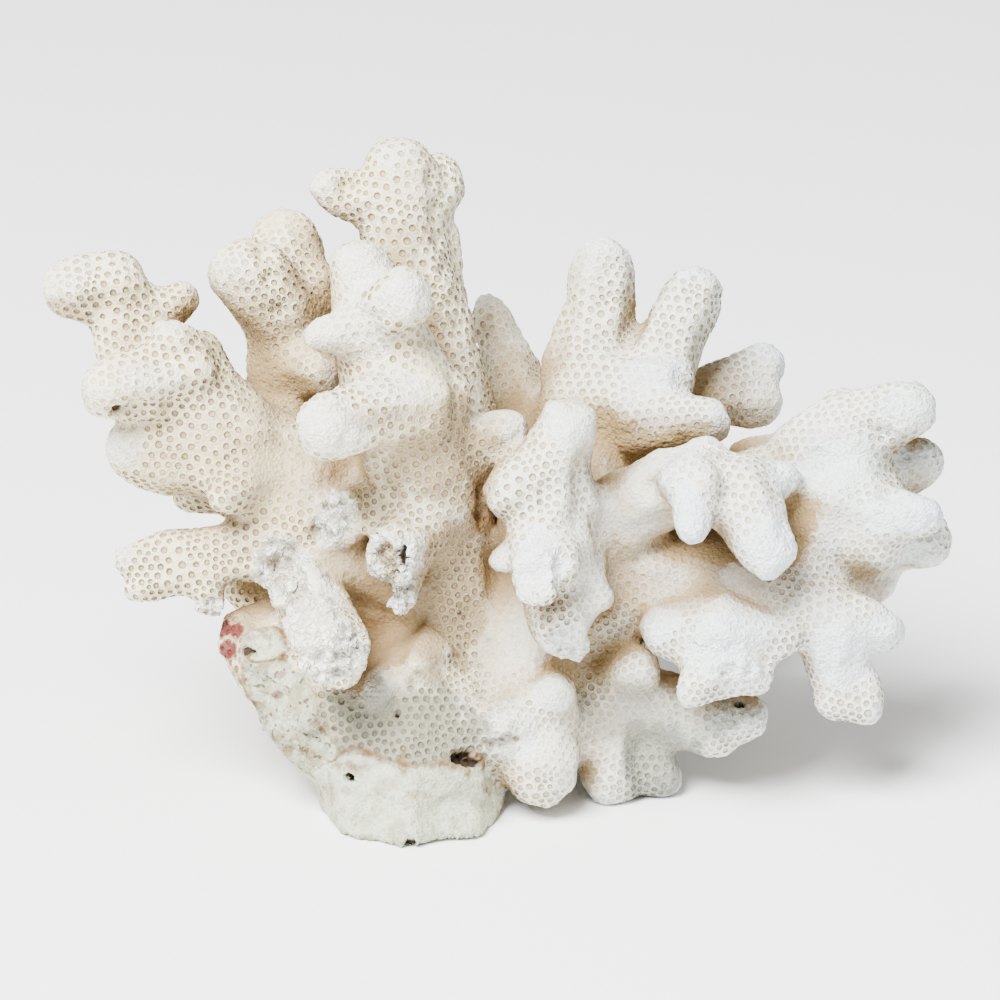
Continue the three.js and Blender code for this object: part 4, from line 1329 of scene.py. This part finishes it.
@dataclass
class Relief:
    """The fine roughness of tips, crusts, breaks and holes, and the values that the materials read.

    Attributes:
        surface: how each place has grown and worn.
        colony: the colony with its cups.
        foot: the foot's number.
        grain: the noise that roughens bare skeleton.
        graininess: how much of it there is between tips, and how much more on tips.
        crust: the noise that the smooth crust shows.
        crust_lip: how thick the smooth crust is.
        plates: the noise that the rough crust's plates follow.
        step: how high one plate lies over the next.
        stepping: how much of the plates goes in steps, and how much doesn't.
        shards: the noise that breaks follow.
        crest: how high a shard's crest is, and how steeply it falls.
        tips: how far tips stand out where they start to whiten and where they are white, in millimetres.
        tip_white: how white they are.
        dim: how hidden a place is where the painted shade starts and where it is darkest.
        warm: where across the skeleton is warm and where it is cool.
    """

    surface: Surface
    colony: bpy.types.Object
    foot: int
    grain: Layers = ((1.3 * MM, 0.18 * MM), (0.8 * MM, 0.17 * MM))
    graininess: tuple[float, float] = (0.5, 0.9)
    crust: Layers = ((4.0 * MM, 0.4 * MM), (1.4 * MM, 0.14 * MM))
    crust_lip: float = 0.45 * MM
    plates: Layers = ((3.6 * MM, 0.75 * MM), (1.5 * MM, 0.4 * MM))
    step: float = 0.55 * MM
    stepping: tuple[float, float] = (0.7, 0.3)
    shards: Layers = ((2.6 * MM, 1.5 * MM), (1.2 * MM, 1.0 * MM))
    crest: tuple[float, float] = (0.45, 1.6)
    tips: tuple[float, float] = (2.4, 4.2)
    tip_white: float = 0.8
    dim: tuple[float, float] = (0.06, 0.64)
    warm: tuple[float, float] = (-20 * MM, 50 * MM)

    def sharp(self, places: np.ndarray, layers: Layers, seed: int) -> np.ndarray:
        """Sums layers of noise with sharp crests, each with its length and its height."""
        top, fall = self.crest
        return sum(
            amount * (top - fall * np.abs(wander(places, length, seed + step)))
            for step, (length, amount) in enumerate(layers)
        )

    def build(self, cups: Corallites, depth: np.ndarray, box: tuple) -> None:
        """Roughens the surface and writes what the materials read.

        Args:
            cups: the corallites.
            depth: how deep each cell's cup is.
            box: the corners of the room that the solid parts take.
        """
        mesh = self.colony.data
        places = coordinates(mesh)
        outwards = vertex_normals(mesh)
        covers = self.surface.covers(places)
        cell = cups.cell_of_vertex
        cells = self.surface.cells
        own = cells.limbs[cell] == self.foot
        low = np.where(own, self.surface.low_crust(places), 0.0) * (1.0 - covers[Kind.PANEL])
        crust = np.maximum(covers[Kind.CRUST], low)
        stands_out = cells.bulge[cell] / MM + 0.7 * wander(places, 5 * MM, 41)
        stands_out += 0.8 * self.surface.behind(outwards)
        white = np.maximum(self.tip_white * between(*self.tips, stands_out), covers[Kind.WHITE])
        height = rough(places, self.grain, 51) * (self.graininess[0] + self.graininess[1] * white)
        height *= 1.0 - covers[Kind.BREAK]
        height *= 1.0 - crust
        height += crust * (rough(places, self.crust, 61) + self.crust_lip)
        plates = rough(places, self.plates, 65)
        stepped = np.round(plates / self.step) * self.step
        height += covers[Kind.PANEL] * (self.stepping[0] * stepped + self.stepping[1] * plates)
        height += covers[Kind.BREAK] * self.sharp(places, self.shards, 71)
        flat = self.surface.on_cut(places, outwards)
        sunk = self.sink(places)
        places += outwards * np.where(flat, 0.0, height)[:, None] - sunk * ~flat[:, None]
        places = np.clip(places, np.array(box[0]), np.array(box[1]))
        move_to(mesh, places)
        # Painted shade: tan where the colony keeps light away from a cell, less on white tips, and in the
        # shade marks; it is the attribute's second value.
        hollow = between(*self.dim, cells.hidden[cell]) * (1.0 - 0.4 * white)
        across = places[:, 0] + 10 * MM * wander(places, 18 * MM, 81)
        warm = between(self.warm[1], self.warm[0], across)
        self.write("growth_and_shade", white, np.maximum(hollow, covers[Kind.SHADE]), depth[cell])
        self.write("wear", crust, covers[Kind.BREAK], covers[Kind.STAIN])
        # The film value is partly painted shade on the low parts near the floor.
        self.write("tone", covers[Kind.GREEN], covers[Kind.HOLE], warm)
        # The core and brown edge values here are partly painted shade, in a stub's hollow, a recess and a
        # dark cavity.
        self.write("dirt", covers[Kind.PANEL], covers[Kind.CORE_AND_SHADE], covers[Kind.RUST_AND_SHADE])
        self.write("outward", *vertex_normals(mesh).T)

    def sink(self, places: np.ndarray) -> np.ndarray:
        """Gives how far holes, hollows and the middles of breaks are sunk at each place."""
        tree = self.surface.skin.tree
        leaning = VIEW.leaning(places)
        ragged = wander(places, 1.6 * MM, 91)
        sunk = np.zeros_like(places)
        for mark in MARKS:
            if mark.kind in SUNK:
                _, normal = mark.spot(tree)
                cover = mark.cover(tree, leaning, ragged)
                sunk += cover[:, None] * np.array(normal) * SUNK[mark.kind]
        return sunk

    def write(self, name: str, *columns: np.ndarray) -> None:
        """Writes three values for each vertex as one attribute."""
        attribute = self.colony.data.attributes.new(name, "FLOAT_VECTOR", "POINT")
        attribute.data.foreach_set("vector", np.stack(columns, 1).astype(np.float32).ravel())


@dataclass
class LimbPieces:
    """The colony's surface, split in one closed piece for each limb.

    Attributes:
        skirt: how far the closed ends reach into the next limb.
        cap_strip: how much of the texture's height the closed ends get.
        tile_share: how much of its tile in the texture a corallite fills.
        lowest: how high above the floor the closed ends stay.
        tile_corners: where a closed end's corners lie in its tile in the texture.
        no_cup: a place outside every cup, for the closed ends.
        pieces: the pieces by their limbs' numbers.
    """

    skirt: float = 1.5 * MM
    cap_strip: float = 0.03
    tile_share: float = 0.47
    lowest: float = 0.2 * MM
    tile_corners: tuple[tuple[float, float], ...] = ((0.1, 0.1), (0.9, 0.1), (0.9, 0.9), (0.1, 0.9))
    no_cup: tuple[float, float] = (2.0, 0.0)
    pieces: dict[int, bpy.types.Object] = field(init=False, default_factory=dict)

    def map_cells(self, cups: Corallites, cells: Cells) -> None:
        """Writes where each corner lies in its own cup, and in the texture.

        Args:
            cups: the corallites.
            cells: the cells that they stand in.
        """
        mesh = cups.colony.data
        vertex = read_values(mesh.loops, "vertex_index", np.int32)
        face_cell = read_values(mesh.attributes["cell"].data, "value", np.int32)
        cell = np.repeat(face_cell, read_values(mesh.polygons, "loop_total", np.int32))
        reach = coordinates(mesh)[vertex] - cells.middles[cell]
        east = cells.sideways[cell]
        north = np.cross(cells.outwards[cell], east)
        flat = np.stack([dots(reach, east), dots(reach, north)], 1)
        self.write_map(mesh, "corallite", flat / cups.rim[cell][:, None])
        widest = np.zeros(len(cells.middles))
        np.maximum.at(widest, cell, np.abs(flat).max(axis=1))
        rank = np.zeros(len(cells.middles), dtype=np.int64)
        side = np.ones(len(cells.middles), dtype=np.int64)
        for limb in range(cells.limbs.max() + 1):
            own = np.flatnonzero(cells.limbs == limb)
            rank[own] = np.arange(len(own))
            side[own] = math.ceil(math.sqrt(max(len(own), 1)))
        tile = np.stack([rank % side, rank // side], 1)[cell]
        placed = (tile + 0.5 + flat / widest[cell][:, None] * self.tile_share) / side[cell][:, None]
        placed[:, 1] = self.cap_strip + placed[:, 1] * (1.0 - self.cap_strip)
        self.write_map(mesh, "OFBake", placed)
        limb = cells.limbs[face_cell].astype(np.int32)
        mesh.polygons.foreach_set("material_index", limb)
        mesh.attributes.new("limb", "INT", "FACE").data.foreach_set("value", limb)

    @staticmethod
    def write_map(mesh: bpy.types.Mesh, name: str, values: np.ndarray) -> None:
        """Writes a texture map, one row for each face corner."""
        layer = mesh.uv_layers.new(name=name, do_init=False)
        layer.uv.foreach_set("vector", values.astype(np.float32).ravel())

    def split(self, colony: bpy.types.Object, names: list[str]) -> None:
        """Splits the colony in one piece for each limb.

        Args:
            colony: the whole surface.
            names: the limbs' names, in the order of their numbers.
        """
        for _ in names:
            colony.data.materials.append(None)
        select_only(colony)
        with edit_mode():
            bpy.ops.mesh.separate(type="MATERIAL")
        for piece in list(bpy.context.selected_objects):
            limb = piece.data.attributes["limb"].data[0].value
            piece.data.materials.clear()
            first_slot = np.zeros(len(piece.data.polygons), dtype=np.int32)
            piece.data.polygons.foreach_set("material_index", first_slot)
            piece.name = f"{names[limb]}_corallites"
            piece.data.name = piece.name
            self.pieces[limb] = piece

    def close(self, piece: bpy.types.Object) -> None:
        """Closes a piece where it meets its neighbours, inside the next limb.

        Args:
            piece: the limb's piece.
        """
        mesh = piece.data
        surface_faces = len(mesh.polygons)
        select_only(piece)
        with edit_mode():
            bpy.ops.mesh.select_mode(type="EDGE")
            bpy.ops.mesh.select_all(action="DESELECT")
            bpy.ops.mesh.select_non_manifold(
                extend=False,
                use_wire=False,
                use_multi_face=False,
                use_non_contiguous=False,
                use_verts=False,
            )
        border = self.selected(mesh)
        with edit_mode():
            bpy.ops.mesh.extrude_edges_move()
        inner = self.selected(mesh)
        places = coordinates(mesh)
        places[inner] -= self.outwards(mesh)[inner] * self.skirt
        places[inner, 2] = np.maximum(places[inner, 2], self.lowest)
        move_to(mesh, places)
        with edit_mode():
            bpy.ops.mesh.fill_holes(sides=0)
            bpy.ops.mesh.select_mode(type="FACE")
        added = mesh.polygons[surface_faces:]
        caps = [face.index for face in added if len(face.vertices) > 4]
        log.info("%s: %d border corners, %d ends", piece.name, border.sum(), len(caps))
        with edit_mode():
            bpy.ops.mesh.select_all(action="DESELECT")
        for number in caps:
            mesh.polygons[number].select = True
        with edit_mode():
            bpy.ops.mesh.poke()
        self.finish(mesh, surface_faces, border)

    def finish(self, mesh: bpy.types.Mesh, surface_faces: int, border: np.ndarray) -> None:
        """Maps the closed ends and lets the light run on over the borders.

        Args:
            mesh: the piece's mesh.
            surface_faces: how many faces its surface has.
            border: which vertices lie on its border.
        """
        count = len(mesh.polygons) - surface_faces
        for step in range(count):
            face = mesh.polygons[surface_faces + step]
            for (u, v), loop in zip(self.tile_corners, face.loop_indices):
                mesh.uv_layers["OFBake"].uv[loop].vector = ((step + u) / count, self.cap_strip * v)
                mesh.uv_layers["corallite"].uv[loop].vector = self.no_cup
        outwards = self.outwards(mesh)
        kept = np.zeros(len(mesh.vertices), dtype=bool)
        kept[: len(border)] = border
        outwards[~kept] = 0.0
        mesh.polygons.foreach_set("use_smooth", np.ones(len(mesh.polygons), dtype=bool))
        mesh.normals_split_custom_set_from_vertices(outwards)
        for name in ("outward", "cell", "limb"):
            mesh.attributes.remove(mesh.attributes[name])

    @staticmethod
    def selected(mesh: bpy.types.Mesh) -> np.ndarray:
        """Gives which of a mesh's vertices are selected."""
        return read_values(mesh.vertices, "select", bool)

    @staticmethod
    def outwards(mesh: bpy.types.Mesh) -> np.ndarray:
        """Gives the whole surface's normals at a piece's vertices."""
        return read_values(mesh.attributes["outward"].data, "vector", np.float32, 3)

    def build(self, cups: Corallites, cells: Cells, names: list[str]) -> None:
        """Maps, splits and closes the surface.

        Args:
            cups: the corallites.
            cells: the cells that they stand in.
            names: the limbs' names, in the order of their numbers.
        """
        self.map_cells(cups, cells)
        self.split(cups.colony, names)
        for piece in self.pieces.values():
            self.close(piece)


Socket = bpy.types.NodeSocket
Value = float | Colour | Socket
Readings = dict[str, bpy.types.NodeOutputs]


@dataclass
class Nodes:
    """A short way to place and join shader nodes.

    Attributes:
        tree: the node tree that they stand in.
    """

    tree: bpy.types.NodeTree

    def add(
        self,
        kind: str,
        inputs: dict[int | str, Value] | None = None,
        **settings: str | float,
    ) -> bpy.types.Node:
        """Places a node.

        Args:
            kind: the node's type, without ShaderNode in front.
            inputs: a value or a socket for each of its inputs, by number or name.
            settings: the node's own settings.

        Returns:
            The node.
        """
        node = self.tree.nodes.new(f"ShaderNode{kind}")
        for name, value in settings.items():
            setattr(node, name, value)
        for name, value in (inputs or {}).items():
            if isinstance(value, Socket):
                self.tree.links.new(value, node.inputs[name])
            else:
                node.inputs[name].default_value = value
        return node

    def math(self, operation: str, *values: float | Socket) -> Socket:
        """Reckons with one, two or three values."""
        return self.add("Math", dict(enumerate(values)), operation=operation).outputs[0]

    def times(self, *values: float | Socket) -> Socket:
        """Multiplies values."""
        total = values[0]
        for value in values[1:]:
            total = self.math("MULTIPLY", total, value)
        return total

    def line(self, value: Socket, slope: float, start: float | Socket) -> Socket:
        """Multiplies a value by the slope and adds the start."""
        return self.math("MULTIPLY_ADD", value, slope, start)

    def rise(self, low: float, high: float, value: Socket) -> Socket:
        """Rises smoothly from 0 at the low value to 1 at the high one."""
        settings = {"Value": value, "From Min": low, "From Max": high}
        return self.add("MapRange", settings, interpolation_type="SMOOTHSTEP", clamp=True).outputs["Result"]

    def blend(self, share: float | Socket, first: Value, second: Value) -> Socket:
        """Blends two colours."""
        return self.add("Mix", {0: share, 6: first, 7: second}, data_type="RGBA").outputs[2]

    def paint(self, colour: Value, *coats: tuple[Socket, Value]) -> Socket:
        """Lays coats over a colour, each with how far it covers and its own colour."""
        for share, coat in coats:
            colour = self.blend(share, colour, coat)
        return colour

    def noise(self, place: Socket, scale: float, detail: float = 2.0) -> Socket:
        """Gives smooth noise at a place."""
        return self.add("TexNoise", {"Vector": place, "Scale": scale, "Detail": detail}).outputs[0]

    def fold(self, place: Socket, scale: float, detail: float) -> Socket:
        """Gives noise that is folded at its middle, so that it is 0 along lines."""
        return self.math("ABSOLUTE", self.math("SUBTRACT", self.noise(place, scale, detail), 0.5))

    def spots(self, place: Socket, scale: float) -> Socket:
        """Gives how far a place is from the nearest of many scattered spots."""
        return self.add("TexVoronoi", {"Vector": place, "Scale": scale}, feature="F1").outputs[0]


def open_group(name: str) -> tuple[Nodes, Socket]:
    """Starts a shader node group, and gives its nodes and the place that it takes."""
    tree = bpy.data.node_groups.new(name, "ShaderNodeTree")
    tree.interface.new_socket(name="Place", in_out="INPUT", socket_type="NodeSocketVector")
    return Nodes(tree), tree.nodes.new("NodeGroupInput").outputs["Place"]


def close_group(nodes: Nodes, **values: Socket) -> bpy.types.NodeTree:
    """Ends a shader node group.

    Args:
        nodes: the group's nodes.
        values: what it gives, by name.

    Returns:
        The node group.
    """
    for label in values:
        nodes.tree.interface.new_socket(name=label, in_out="OUTPUT", socket_type="NodeSocketFloat")
    end = nodes.tree.nodes.new("NodeGroupOutput")
    for label, value in values.items():
        nodes.tree.links.new(value, end.inputs[label])
    return nodes.tree


def cup_marks() -> bpy.types.NodeTree:
    """Makes the group that draws the slots, the rim and the pillar of a corallite.

    Returns:
        The node group.
    """
    nodes, place = open_group("corallite_marks")
    across, along, _ = nodes.add("SeparateXYZ", {0: place}).outputs
    far = nodes.add("VectorMath", {0: place}, operation="LENGTH").outputs["Value"]
    angle = nodes.math("ARCTAN2", along, across)
    spokes = nodes.rise(-0.5, 0.7, nodes.math("COSINE", nodes.times(angle, 10.0)))
    ring = nodes.times(nodes.rise(0.48, 0.7, far), nodes.rise(1.04, 0.84, far))
    return close_group(
        nodes,
        Slots=nodes.times(ring, nodes.line(spokes, 0.6, 0.4)),
        Rim=nodes.times(nodes.rise(0.88, 1.06, far), nodes.rise(1.45, 1.16, far)),
        Pillar=nodes.rise(0.98, 0.72, far),
    )


def grain_marks() -> bpy.types.NodeTree:
    """Makes the group for the fine grain of the skeleton.

    Returns:
        The node group.
    """
    nodes, place = open_group("skeleton_grain")
    fine = nodes.noise(place, 3600.0, 0.0)
    pimples = nodes.math("SUBTRACT", 0.8, nodes.spots(place, 1750.0))
    return close_group(
        nodes,
        Mottle=nodes.noise(place, 170.0),
        Height=nodes.line(pimples, 0.8, nodes.times(fine, 0.5)),
    )


def wear_marks() -> bpy.types.NodeTree:
    """Makes the group for the specks and cracks of crusts and the flecks of breaks.

    Returns:
        The node group.
    """
    nodes, place = open_group("wear_marks")
    return close_group(
        nodes,
        Specks=nodes.rise(0.6, 0.68, nodes.noise(place, 1100.0, 1.0)),
        Dirt=nodes.rise(0.42, 0.66, nodes.noise(place, 420.0, 3.0)),
        Pits=nodes.rise(0.58, 0.32, nodes.spots(place, 1900.0)),
        Lines=nodes.rise(0.035, 0.008, nodes.fold(place, 330.0, 2.0)),
        Crinkle=nodes.rise(0.0, 0.11, nodes.fold(place, 750.0, 3.0)),
    )


@dataclass(frozen=True)
class Skeleton:
    """The finish of dry coral skeleton: chalky, cream where cups are, white on the tips.

    Attributes:
        name: the finish's name.
        cream: the colour between the cups.
        cool: the same on the colony's cooler side.
        white: the tips' colour.
        cool_white: the same on the cooler side.
        tan: the painted shade's colour, in forks, hollows and other shaded places.
        straw: the colour of the cups' floors.
        brown: the slots' colour.
        rim: the mottle's colour, and the painted highlight on the cups' raised rims.
        green: the film's colour, dark enough to be painted shade too on the low parts near the floor.
        moss: the colour of the cups' floors under the film.
        crust: the crust's colour.
        dirt: the colour of the dirt on it.
        beige: the painted shade in the creases of a break, and the colour of a break's middle.
        chalk: a fresh break's colour.
        rust_and_shade: the colour of eroded edges and crust specks, also painted as shade in a recess and a
            dark cavity.
        stain: the spots' colour.
        dark: the colour in bored holes.
        roughness: how dull the skeleton is.
        gloss: how strongly it shines.
        grain_strength: how strongly the grain shows.
        grain_height: how high the grain stands.
        grain_shade: how much the grain lightens the colour, and what it starts from.
        break_height: how high the creases of a break stand, in grains.
    """

    name: str
    cream: Colour = (0.80, 0.70, 0.45, 1)
    cool: Colour = (0.68, 0.735, 0.74, 1)
    white: Colour = (0.84, 0.83, 0.75, 1)
    cool_white: Colour = (0.76, 0.86, 0.89, 1)
    tan: Colour = (0.30, 0.20, 0.09, 1)
    straw: Colour = (0.44, 0.33, 0.145, 1)
    brown: Colour = (0.15, 0.09, 0.035, 1)
    rim: Colour = (0.90, 0.85, 0.68, 1)
    green: Colour = (0.15, 0.152, 0.105, 1)
    moss: Colour = (0.13, 0.135, 0.085, 1)
    crust: Colour = (0.54, 0.58, 0.44, 1)
    dirt: Colour = (0.27, 0.225, 0.12, 1)
    beige: Colour = (0.50, 0.41, 0.25, 1)
    chalk: Colour = (0.88, 0.90, 0.86, 1)
    rust_and_shade: Colour = (0.17, 0.08, 0.022, 1)
    stain: Colour = (0.12, 0.007, 0.01, 1)
    dark: Colour = (0.035, 0.018, 0.008, 1)
    roughness: float = 0.86
    gloss: float = 0.3
    grain_strength: float = 0.9
    grain_height: float = 0.28 * MM
    grain_shade: tuple[float, float] = (0.34, 0.72)
    break_height: float = 1.1

    def grown(self, nodes: Nodes, read: Readings) -> Socket:
        """Colours the bare skeleton, its tips, its cups, the film on it and the painted shade in its
        hollows.

        Args:
            nodes: the material's nodes.
            read: what the surface and the groups say.

        Returns:
            The colour.
        """
        tips, hollow, depth = read["growth_and_shade"]
        film, _, warm = read["tone"]
        cup = read["cup"]
        cups = nodes.rise(0.05, 0.85, depth)
        bold = nodes.line(warm, 0.3, 0.5)
        mottle = nodes.rise(0.35, 0.65, read["grain"]["Mottle"])
        return nodes.paint(
            self.cool,
            (warm, self.cream),
            (nodes.times(mottle, 0.45), self.rim),
            (nodes.times(tips, 0.85), nodes.blend(warm, self.cool_white, self.white)),
            # Painted shade: tan in hollows, forks and shaded places.
            (hollow, self.tan),
            # Painted highlight: a lighter ring on each cup's raised rim, weaker in the painted shade.
            (nodes.times(cups, cup["Rim"], nodes.line(hollow, -0.5, 0.6)), self.rim),
            (nodes.times(cups, cup["Pillar"], bold), nodes.blend(film, self.straw, self.moss)),
            (nodes.times(cups, cup["Slots"], bold), self.brown),
            # The film, partly painted shade on the low parts near the floor.
            (nodes.times(film, 0.75), self.green),
        )

    def crusted(self, nodes: Nodes, read: Readings, colour: Socket) -> Socket:
        """Lays the smooth crust and the rough plates over a colour.

        Args:
            nodes: the material's nodes.
            read: what the surface and the groups say.
            colour: the colour under them.

        Returns:
            The new colour.
        """
        dirt = read["marks"]["Dirt"]
        specks = read["marks"]["Specks"]
        crust = nodes.paint(
            self.crust,
            (nodes.times(dirt, 0.5), self.dirt),
            (nodes.times(specks, 0.35), self.rust_and_shade),
        )
        panel = nodes.paint(
            self.crust,
            (nodes.line(dirt, 0.55, 0.15), self.dirt),
            (nodes.times(specks, 0.75), self.dark),
            (nodes.times(read["marks"]["Lines"], 0.22), self.brown),
        )
        colour = self.patch(nodes, read["wear"][0], colour, crust, nodes.line(dirt, 0.6, 0.25))
        return self.patch(nodes, read["dirt"][0], colour, panel, nodes.line(dirt, 0.7, 0.2))

    def patch(self, nodes: Nodes, cover: Socket, under: Socket, over: Socket, rusty: Socket) -> Socket:
        """Lays a patch with a rusty edge over a colour.

        Args:
            nodes: the material's nodes.
            cover: how far the patch covers the place.
            under: the colour under it.
            over: its own colour.
            rusty: how rusty its edge is.

        Returns:
            The new colour.
        """
        edge = nodes.times(nodes.rise(0.12, 0.32, cover), nodes.rise(0.75, 0.5, cover))
        inside = nodes.rise(0.3, 0.6, cover)
        return nodes.paint(under, (inside, over), (nodes.times(edge, rusty), self.rust_and_shade))

    def worn(self, nodes: Nodes, read: Readings, colour: Socket) -> Socket:
        """Lays breaks, eroded brown edges, spots and bored holes over a colour, with some painted shade.

        Args:
            nodes: the material's nodes.
            read: what the surface and the groups say.
            colour: the colour under them.

        Returns:
            The new colour.
        """
        marks = read["marks"]
        _, breaks, stains = read["wear"]
        _, core_and_shade_cover, rust_and_shade_cover = read["dirt"]
        # Painted shade: beige in the creases between a break's white fibres.
        chalk = nodes.blend(nodes.line(marks["Crinkle"], -0.6, 0.6), self.chalk, self.beige)
        return nodes.paint(
            colour,
            (nodes.times(breaks, 0.9), chalk),
            # The colour of the middles of breaks, also painted shade in a broken stub's hollow.
            (nodes.times(core_and_shade_cover, 0.85), nodes.blend(marks["Pits"], self.beige, self.rust_and_shade)),
            # Brown edges, partly painted shade in a recess and a dark cavity.
            (nodes.times(rust_and_shade_cover, nodes.line(marks["Dirt"], 0.7, 0.3)), self.rust_and_shade),
            (nodes.times(nodes.rise(0.1, 0.8, stains), 0.92), self.stain),
            (nodes.rise(0.3, 0.75, read["tone"][1]), self.dark),
        )

    def make(self, groups: dict[str, bpy.types.NodeTree]) -> bpy.types.Material:
        """Makes the material.

        Args:
            groups: the shared node groups by name.

        Returns:
            The material.
        """
        material = bpy.data.materials.new(self.name)
        material.use_nodes = True
        nodes = Nodes(material.node_tree)
        places = {"cup": nodes.add("UVMap", uv_map="corallite").outputs[0]}
        places["grain"] = places["marks"] = nodes.add("TexCoord").outputs["Object"]
        read = {label: self.read(nodes, label) for label in ("growth_and_shade", "wear", "tone", "dirt")}
        for label, place in places.items():
            read[label] = self.use(nodes, groups[label], place)
        colour = self.worn(nodes, read, self.crusted(nodes, read, self.grown(nodes, read)))
        grain = read["grain"]["Height"]
        shade = nodes.line(grain, *self.grain_shade)
        shaded = nodes.add("VectorMath", {0: colour, "Scale": shade}, operation="SCALE").outputs[0]
        creases = nodes.times(read["wear"][1], read["marks"]["Crinkle"])
        grains = nodes.times(grain, nodes.line(read["growth_and_shade"][0], 0.6, 0.8))
        height = nodes.line(creases, self.break_height, grains)
        bump = {"Height": height, "Strength": self.grain_strength, "Distance": self.grain_height}
        principled = nodes.tree.nodes["Principled BSDF"]
        nodes.tree.links.new(shaded, principled.inputs["Base Color"])
        nodes.tree.links.new(nodes.add("Bump", bump).outputs[0], principled.inputs["Normal"])
        principled.inputs["Roughness"].default_value = self.roughness
        principled.inputs["Specular IOR Level"].default_value = self.gloss
        return material

    @staticmethod
    def read(nodes: Nodes, label: str) -> bpy.types.NodeOutputs:
        """Reads the three values of one of the surface's attributes."""
        attribute = nodes.add("Attribute", attribute_name=label)
        return nodes.add("SeparateXYZ", {0: attribute.outputs["Vector"]}).outputs

    @staticmethod
    def use(nodes: Nodes, group: bpy.types.NodeTree, place: Socket) -> bpy.types.NodeOutputs:
        """Places a shared group and gives its outputs."""
        node = nodes.tree.nodes.new("ShaderNodeGroup")
        node.node_tree = group
        nodes.tree.links.new(place, node.inputs["Place"])
        return node.outputs


@dataclass(frozen=True)
class Studio:
    """The pale floor, the soft light and the pale surroundings.

    Attributes:
        floor_size: the floor's side, in metres.
        floor_colour: the floor's colour.
        floor_roughness: how dull the floor is.
        light_place: where the light hangs, in metres.
        light_aim: what it points at, in metres.
        light_size: its side, in metres.
        light_power: its power, in watts.
        surroundings: how bright the surroundings are.
    """

    floor_size: float = 6.0
    floor_colour: Colour = (0.9, 0.9, 0.9, 1)
    floor_roughness: float = 0.9
    light_place: tuple[float, float, float] = (-0.4, -0.6, 1.05)
    light_aim: tuple[float, float, float] = (0.0, 0.0, 0.04)
    light_size: float = 0.7
    light_power: float = 92.0
    surroundings: float = 0.75

    def make_floor(self) -> None:
        """Lays the pale floor."""
        bpy.ops.mesh.primitive_plane_add(size=self.floor_size, location=(0, 0, 0))
        floor = bpy.context.active_object
        floor.name = "studio_floor"
        material = bpy.data.materials.new("studio_floor")
        material.use_nodes = True
        principled = material.node_tree.nodes["Principled BSDF"]
        principled.inputs["Base Color"].default_value = self.floor_colour
        principled.inputs["Roughness"].default_value = self.floor_roughness
        floor.data.materials.append(material)
        floor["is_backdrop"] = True

    def make_light(self) -> None:
        """Hangs the soft light that points at the colony."""
        data = bpy.data.lights.new("key_light", "AREA")
        data.size = self.light_size
        data.energy = self.light_power
        light = bpy.data.objects.new("key_light", data)
        light.location = self.light_place
        light.rotation_mode = "QUATERNION"
        aim = Vector(self.light_aim) - Vector(self.light_place)
        light.rotation_quaternion = aim.to_track_quat("-Z", "Y")
        bpy.context.collection.objects.link(light)

    def build(self) -> None:
        """Sets up the floor, the light and the pale surroundings."""
        self.make_floor()
        self.make_light()
        world = bpy.data.worlds.new("studio")
        world.use_nodes = True
        background = world.node_tree.nodes["Background"]
        background.inputs["Color"].default_value = (1, 1, 1, 1)
        background.inputs["Strength"].default_value = self.surroundings
        bpy.context.scene.world = world


def main() -> None:
    """Builds the whole scene round the frame."""
    logging.basicConfig(level=logging.INFO, format="%(name)s: %(message)s")
    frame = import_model()
    cad_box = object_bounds()
    VIEW.make_camera()
    limbs = frame["nodes"]
    skin_layer = Skin()
    skin = skin_layer.build(limbs)
    net = CellNet()
    net.build(skin, skin_layer.tree)
    cells = Cells()
    cells.build(net.mesh, skin_layer, len(limbs))
    surface = Surface(skin_layer, cells)
    names = list(limbs)
    depth = surface.cup_depth(names.index("foot"), names.index("right_trunk"))
    cups = Corallites()
    cups.lay(cells)
    cups.shape(cells, depth)
    bpy.data.objects.remove(skin)
    Relief(surface, cups.colony, names.index("foot")).build(cups, depth, cad_box)
    dressing = LimbPieces()
    dressing.build(cups, cells, names)
    groups = {"cup": cup_marks(), "grain": grain_marks(), "marks": wear_marks()}
    white = Skeleton("white_skeleton").make(groups)
    crusted = Skeleton("crusted_foot").make(groups)
    for number, piece in sorted(dressing.pieces.items()):
        name = names[number]
        is_foot = name == "foot"
        piece.data.materials.append(crusted if is_foot else white)
        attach(piece, "root")
        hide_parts(name)
    Studio().build()


if __name__ == "__main__":
    main()
